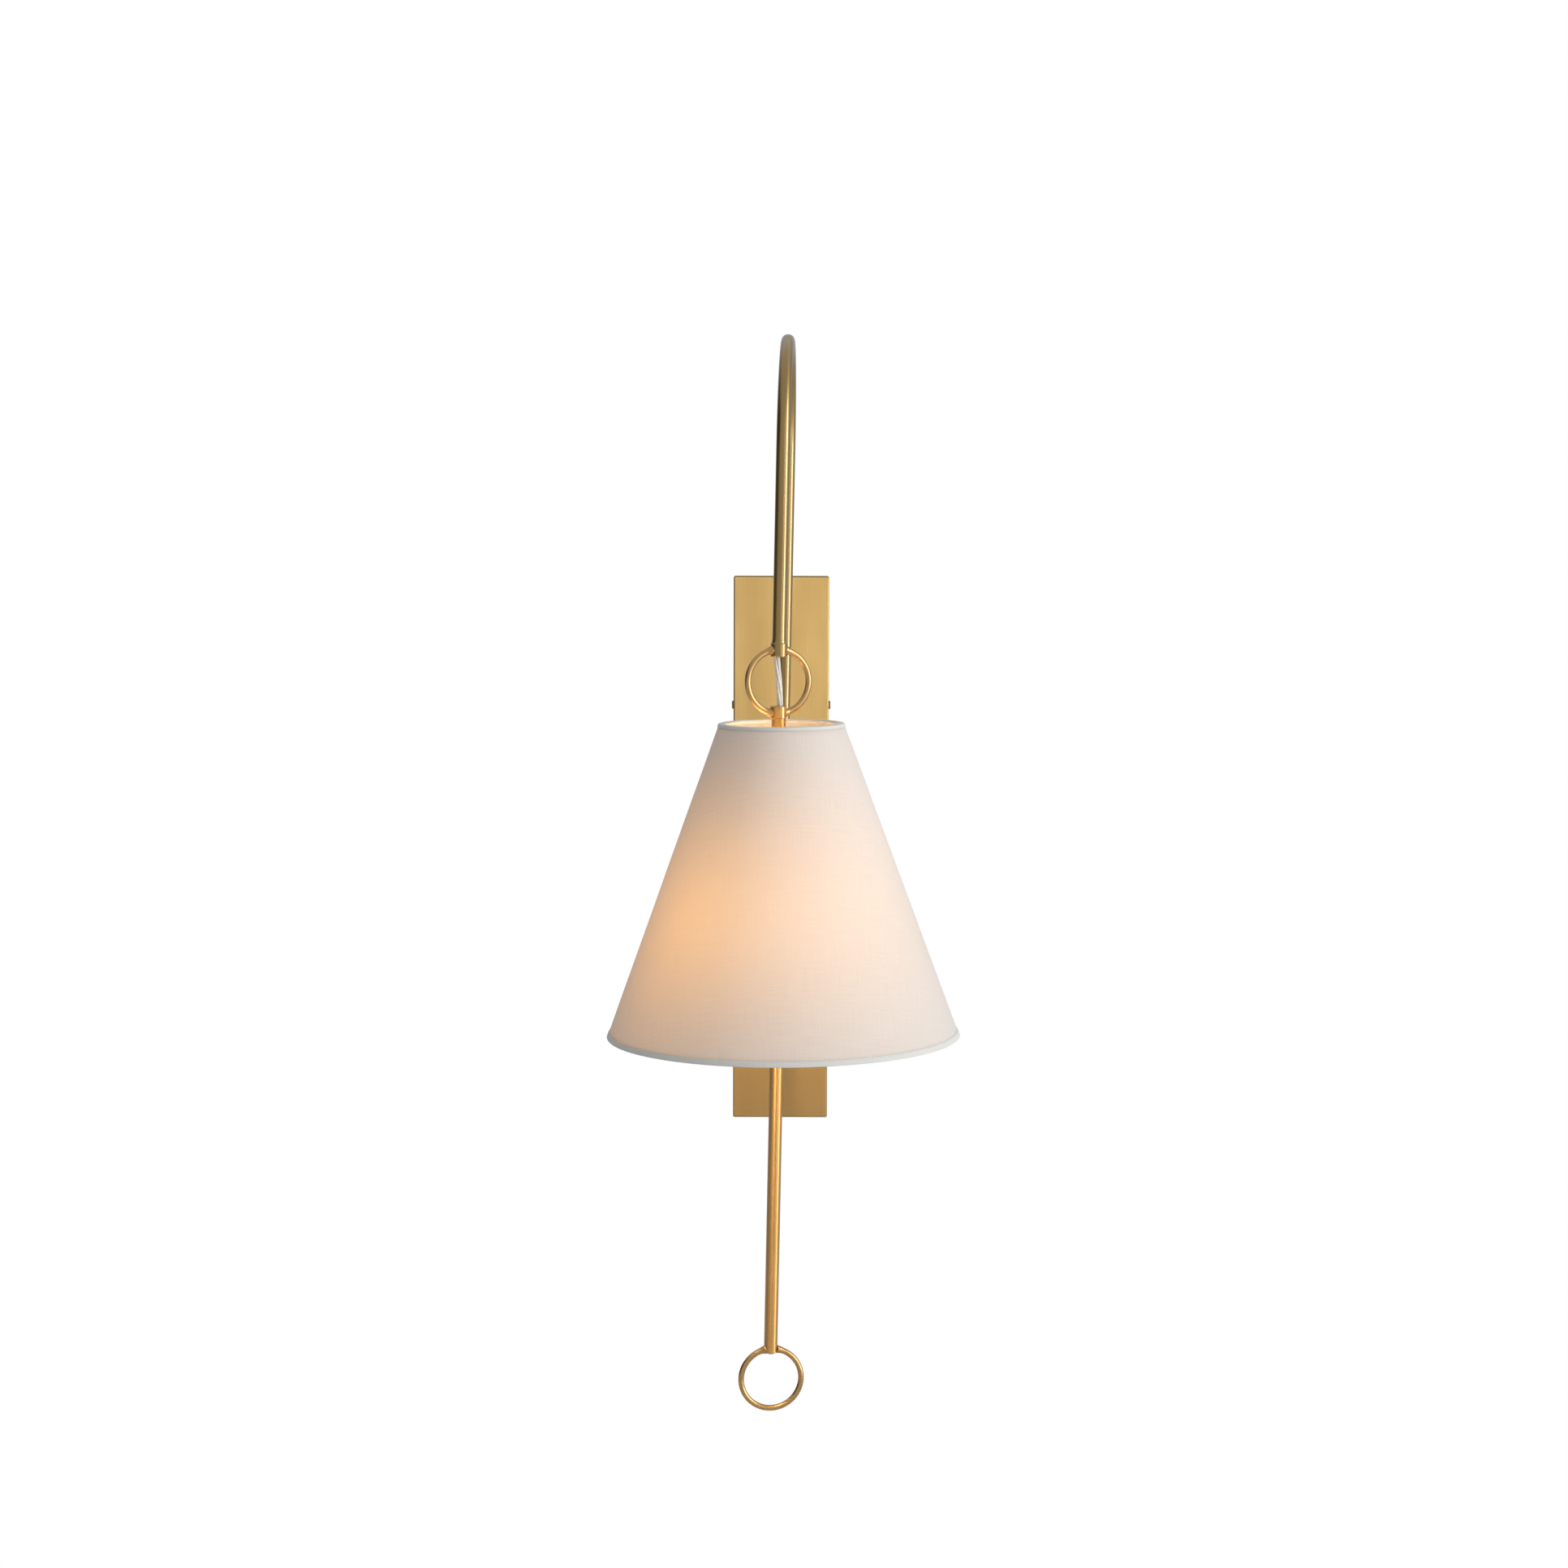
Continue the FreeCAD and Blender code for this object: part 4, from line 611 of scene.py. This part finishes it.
def make_ring_arc(name, place, major, start, end, seed, lumps):
    """Part of a wire ring, from one angle to another, clockwise from its top in radians. Its ends
    swell with brazing, which flows on to the posts they meet."""
    angles = [start + (end - start) * n / RING_STEPS for n in range(RING_STEPS + 1)]
    points = [Vector((major * math.sin(a), 0, major * math.cos(a))) * MM for a in angles]

    def radius_at(number, around):
        apart = [abs(angles[number] - edge) * major for edge in (start, end)]
        swell = 0.0
        for distance, lump in zip(apart, lumps):
            past = max(distance - BRAZE_FULL, 0) / BRAZE_RUN
            swell += BRAZE_RISE * lump * math.exp(-past ** BRAZE_FALL)
        facing = Vector((math.cos(around), math.sin(around), seed))
        rough = noise.noise(points[number] * LUMPS_ALONG + facing * LUMPS_AROUND)
        rough *= RING_ROUGH + BRAZE_ROUGH * swell
        return (RING_WIRE / 2 + swell + rough) * MM

    rows, flat = tube_rows(points, radius_at, RING_SIDES)
    return lofted(name, rows, flat, place, closed=False)


def joined(name, parts):
    """One object from several."""
    with bpy.context.temp_override(active_object=parts[0], selected_editable_objects=parts):
        bpy.ops.object.join()
    parts[0].name = name
    return parts[0]


LINK_RING_RADIUS = 22.95
LINK_RING_TURN = 20.5
PULL_RING_RADIUS = 23.85
PULL_RING_TURN = 10.5
PULL_RING_SHIFT = 0.8
PULL_RING_HEIGHT = -416.4
POST_SINK = 4.2


def make_rings(materials):
    half = math.asin(POST_SINK / LINK_RING_RADIUS)
    place = ARM @ moved(y=-REACH, z=LINK) @ turned(LINK_RING_TURN, "Z")
    arcs = [
        make_ring_arc("link_arc", place, LINK_RING_RADIUS, start + half, start + math.pi - half,
                      seed, lumps)
        for start, seed, lumps in ((0, 3.0, (0.8, 1.0)), (math.pi, 8.0, (0.95, 1.05)))]
    ring = joined("link_ring_brazed", arcs)
    finished(ring, materials["ring_brass"], "swing_arm", ["link_ring"])
    half = math.asin(POST_SINK / PULL_RING_RADIUS)
    place = ARM @ moved(x=PULL_RING_SHIFT, z=PULL_RING_HEIGHT) @ turned(PULL_RING_TURN, "Z")
    ring = make_ring_arc("pull_ring_brazed", place, PULL_RING_RADIUS, half, 2 * math.pi - half,
                         5.0, (0.55, 0.95))
    finished(ring, materials["ring_brass"], "swing_arm", ["pull_ring"])


FILLET_LOW = 169.6
FILLET_RISE = 4.4
FILLET_STEPS = 14
FILLET_SIDES = 64
FILLET_FLARE = 0.95
FILLET_HOLLOW = 2.2
FILLET_SKIN, FILLET_SINK = 0.03, 0.15
FILLET_ROUND, FILLET_LAYER = 0.031, 0.0004


def make_collar_fillet(materials):
    """Brazing that has run up from the arm's end collar on to the tube."""
    rows, flat = [], []
    for n in range(FILLET_STEPS * 2 + 2):
        outside = n <= FILLET_STEPS
        share = n / FILLET_STEPS if outside else 1 - (n - FILLET_STEPS - 1) / FILLET_STEPS
        row = []
        for k in range(FILLET_SIDES):
            angle = 2 * math.pi * k / FILLET_SIDES
            beside_ring = abs(math.cos(angle - math.radians(LINK_RING_TURN))) ** 3
            rise = FILLET_RISE * (0.45 + 0.55 * beside_ring)
            rise *= 1 + 0.22 * noise.noise(Vector((math.cos(angle), math.sin(angle), 4.0)) * 1.7)
            flare = FILLET_FLARE * (1 - share) ** FILLET_HOLLOW if outside else -FILLET_SINK
            radius = TUBE_RADIUS + flare + (FILLET_SKIN if outside else 0)
            height = FILLET_LOW + rise * share
            row.append(Vector((radius * math.cos(angle), radius * math.sin(angle), height)) * MM)
        rows.append(row)
        flat.append([(k / FILLET_SIDES * FILLET_ROUND, n * FILLET_LAYER)
                     for k in range(FILLET_SIDES + 1)])
    place = ARM @ moved(y=-REACH)
    fillet = lofted("upper_collar_brazing", rows, flat + [flat[0]], place, closed=True)
    finished(fillet, materials["arm_brass"], "swing_arm")


# ---- linen cover and hems -----------------------------------------------------------------------

SEAM_BEARING = math.radians(96.0)
SEAM_LAP = math.radians(4.6)
SEAM_STEP = 0.42
SEAM_POINTS = (0.0, 0.06, 0.14, 0.5, 0.86, 0.94, 1.0)
SEAM_BEGINS, SEAM_ENDS = 0.06, 0.94
SEAM_MARGIN = 1.4
COVER_COLUMNS = 252
COVER_ROWS = 30
COVER_DEPTH = 0.06
COVER_WAVE = 0.12
WAVES_ROUND, WAVES_UP = 3, 0.03


def cone_radius(height):
    share = (SHADE_TOP - height) / (SHADE_TOP - SHADE_BOTTOM)
    return SHADE_TOP_RADIUS + (SHADE_BOTTOM_RADIUS - SHADE_TOP_RADIUS) * share


CONE_SLOPE = (SHADE_BOTTOM_RADIUS - SHADE_TOP_RADIUS) / (SHADE_TOP - SHADE_BOTTOM)
CONE_LEAN = math.atan(CONE_SLOPE)


def cover_bearings():
    """Turns round the cover from the seam, in radians, closer together where the cloth laps."""
    fine = [SEAM_LAP * share for share in SEAM_POINTS]
    start = SEAM_LAP * SEAM_MARGIN
    rest = [start + (2 * math.pi - start) * n / COVER_COLUMNS for n in range(COVER_COLUMNS)]
    return fine + rest


def flat_place(turn, height):
    """Where a point of the cover was on the flat cloth, in metres."""
    slant = cone_radius(height) / math.sin(CONE_LEAN) * MM
    angle = (turn - math.pi) * math.sin(CONE_LEAN)
    return slant * math.sin(angle), slant * math.cos(angle)


def revolved(name, profile, lap):
    """A closed shape from a profile of (depth, height) points turned round the shade's axis. depth
    is how far a point lies inside the cone. lap is the cloth's step at its seam."""
    rows, flat = [], []
    turns = cover_bearings()
    for turn in turns + [2 * math.pi]:
        over = SEAM_BEGINS < turn / SEAM_LAP < SEAM_ENDS
        row = []
        for depth, height in profile:
            spot = Vector((math.cos(turn) * WAVES_ROUND, math.sin(turn) * WAVES_ROUND,
                           height * WAVES_UP))
            wave = COVER_WAVE * noise.noise(spot)
            radius = cone_radius(height) - depth + wave + (lap if over and depth < HEM_THICK else 0)
            outward = turned(math.degrees(SEAM_BEARING - turn), "Z") @ Vector((radius, 0, 0))
            row.append((outward + Vector((0, 0, height))) * MM)
        rows.append(row)
        flat.append([flat_place(turn, height) for depth, height in profile + profile[:1]])
    return lofted(name, rows[:-1], flat, SHADE, closed=True)


TOP_HEM, BOTTOM_HEM = 2.3, 3.8
TOP_WIRE, BOTTOM_WIRE = 2.4, 2.8
HEM_SLACK = 0.24
HEM_STEPS = 10
HEM_WALL_STEPS = 5


def make_cover(materials):
    """Linen glued round the lining, lapped at the back, with rolled hems over the rim wires."""
    drop = (SHADE_BOTTOM - SHADE_TOP) / COVER_ROWS
    heights = [SHADE_TOP + drop * n for n in range(COVER_ROWS + 1)]
    outside = [(COVER_DEPTH, height) for height in heights]
    inside = [(COVER_DEPTH + LINEN_THICK, height) for height in reversed(heights)]
    cover = revolved("shade_linen_cover", outside + inside, SEAM_STEP)
    finished(cover, materials["shade_linen"], "swing_arm", ["shade_linen"])
    top = make_hem("shade_top_rolled_hem", SHADE_TOP, 1, TOP_HEM, TOP_WIRE, "shade_top_hem",
                   materials)
    bottom = make_hem("shade_bottom_rolled_hem", SHADE_BOTTOM, -1, BOTTOM_HEM, BOTTOM_WIRE,
                      "shade_bottom_hem", materials)


def make_hem(name, rim, side, reach, wire, node, materials):
    """Linen rolled over a rim and its wire, with a rounded crest. side is 1 at the top rim and -1
    at the bottom one."""
    skin = HEM_THICK
    deep = LAYERS_THICK + wire + HEM_SLACK
    end = rim - reach * side
    middle = (deep + skin) / 2 - skin / 2
    outer, inner = [], []
    half = deep / 2
    for n in range(HEM_STEPS + 1):
        angle = math.pi * n / HEM_STEPS
        lift = math.sin(angle)
        outer.append((middle - (half + skin) * math.cos(angle), rim + (skin * 0.98) * lift * side))
        inner.append((middle - half * math.cos(angle), rim + 0.02 * lift * side))
    outer_wall = [(-skin * (0.35 + 0.65 * min(1.0, n / 2)),
                   end + reach * n / HEM_WALL_STEPS * side) for n in range(HEM_WALL_STEPS)]
    inner_end = end + 0.2 * side
    profile = ([(0.0, end)] + outer_wall + outer + [(deep + skin, inner_end), (deep, inner_end)]
               + list(reversed(inner)))
    hem = revolved(name, profile, SEAM_STEP * 0.5)
    return finished(hem, materials["hem_linen"], "swing_arm", [node])


# ---- the cord in the link ring ------------------------------------------------------------------

CORD_OFFSET = 1.1
LINK_CORD_ROUTE = (
    (0.9, 201), (1.15, 173), (1.1, 159), (0.1, 148), (-0.9, 135), (-1.15, 121), (-1.1, 109))
STRANDS = 4
STRAND_RADIUS = 0.84
STRAND_RING = 1.22
STRAND_PITCH = 75.0
STRAND_SIDES = 14
CORE_RADIUS = 0.62


def cord_route():
    """The cord's line through the link ring, read from a smooth spline through the route."""
    data = bpy.data.curves.new("route", "CURVE")
    data.dimensions = "3D"
    data.resolution_u = 24
    spline = data.splines.new("NURBS")
    spline.points.add(len(LINK_CORD_ROUTE) - 1)
    for point, (side, height) in zip(spline.points, LINK_CORD_ROUTE):
        place = ARM @ moved(y=-REACH) if height > LINK else STEM
        point.co = (*(place @ Vector((-CORD_OFFSET * side * MM, 0, height * MM))), 1)
    spline.order_u = 3
    spline.use_endpoint_u = True
    holder = bpy.data.objects.new("route", data)
    bpy.context.scene.collection.objects.link(holder)
    bpy.context.view_layer.update()
    mesh = bpy.data.meshes.new_from_object(holder)
    points = [vertex.co.copy() for vertex in mesh.vertices]
    bpy.data.objects.remove(holder)
    bpy.data.meshes.remove(mesh)
    return points


def make_strands():
    """Twisted conductors round a core painted dark as shade between them, which show through the
    clear jacket.
    """
    line = cord_route()
    parts = []
    for strand in range(STRANDS):
        points = []
        travelled = 0.0
        for number, point in enumerate(line):
            travelled += (point - line[max(number - 1, 0)]).length
            angle = 2 * math.pi * (travelled / (STRAND_PITCH * MM) + strand / STRANDS)
            points.append(point + Vector((math.cos(angle), math.sin(angle), 0)) * STRAND_RING * MM)
        rows, flat = tube_rows(points, lambda number, angle: STRAND_RADIUS * MM, STRAND_SIDES)
        parts.append(lofted("strand", rows, flat, Matrix.Identity(4), closed=False))
    rows, flat = tube_rows(line, lambda number, angle: CORE_RADIUS * MM, STRAND_SIDES)
    # The core's flat places lie left of zero, where its colour is a painted shade between the
    # strands.
    flat = [[(-1 - across, along) for across, along in row] for row in flat]
    parts.append(lofted("strand", rows, flat, Matrix.Identity(4), closed=False))
    finished(joined("lamp_cord_strands", parts), twisted_silver(), "swing_arm")


# ---- everything ---------------------------------------------------------------------------------

# Pieces whose brass carries painted warm lamp light.
LAMP_LIT_PIECES = ("pull_rod", "socket_stem", "lower_link_collar")


def dress_cad_nodes(materials):
    """Gives each CAD node the finished material of its slot. The rod below the shade, the stem and
    the collar on it get a brass painted brighter and redder than the tube's, a painted warm lamp
    light besides the lamp's real lights."""
    for name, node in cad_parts.items():
        slot = node.data.materials[0].name.split(".")[0]
        node.data.materials[0] = materials["rod_brass" if name in LAMP_LIT_PIECES else slot]


bpy.context.scene.view_settings.view_transform = "Standard"
make_camera()
make_strands()
make_world()
make_floor()
make_lights()
materials = make_materials()
dress_cad_nodes(materials)
make_rings(materials)
make_collar_fillet(materials)
make_cover(materials)
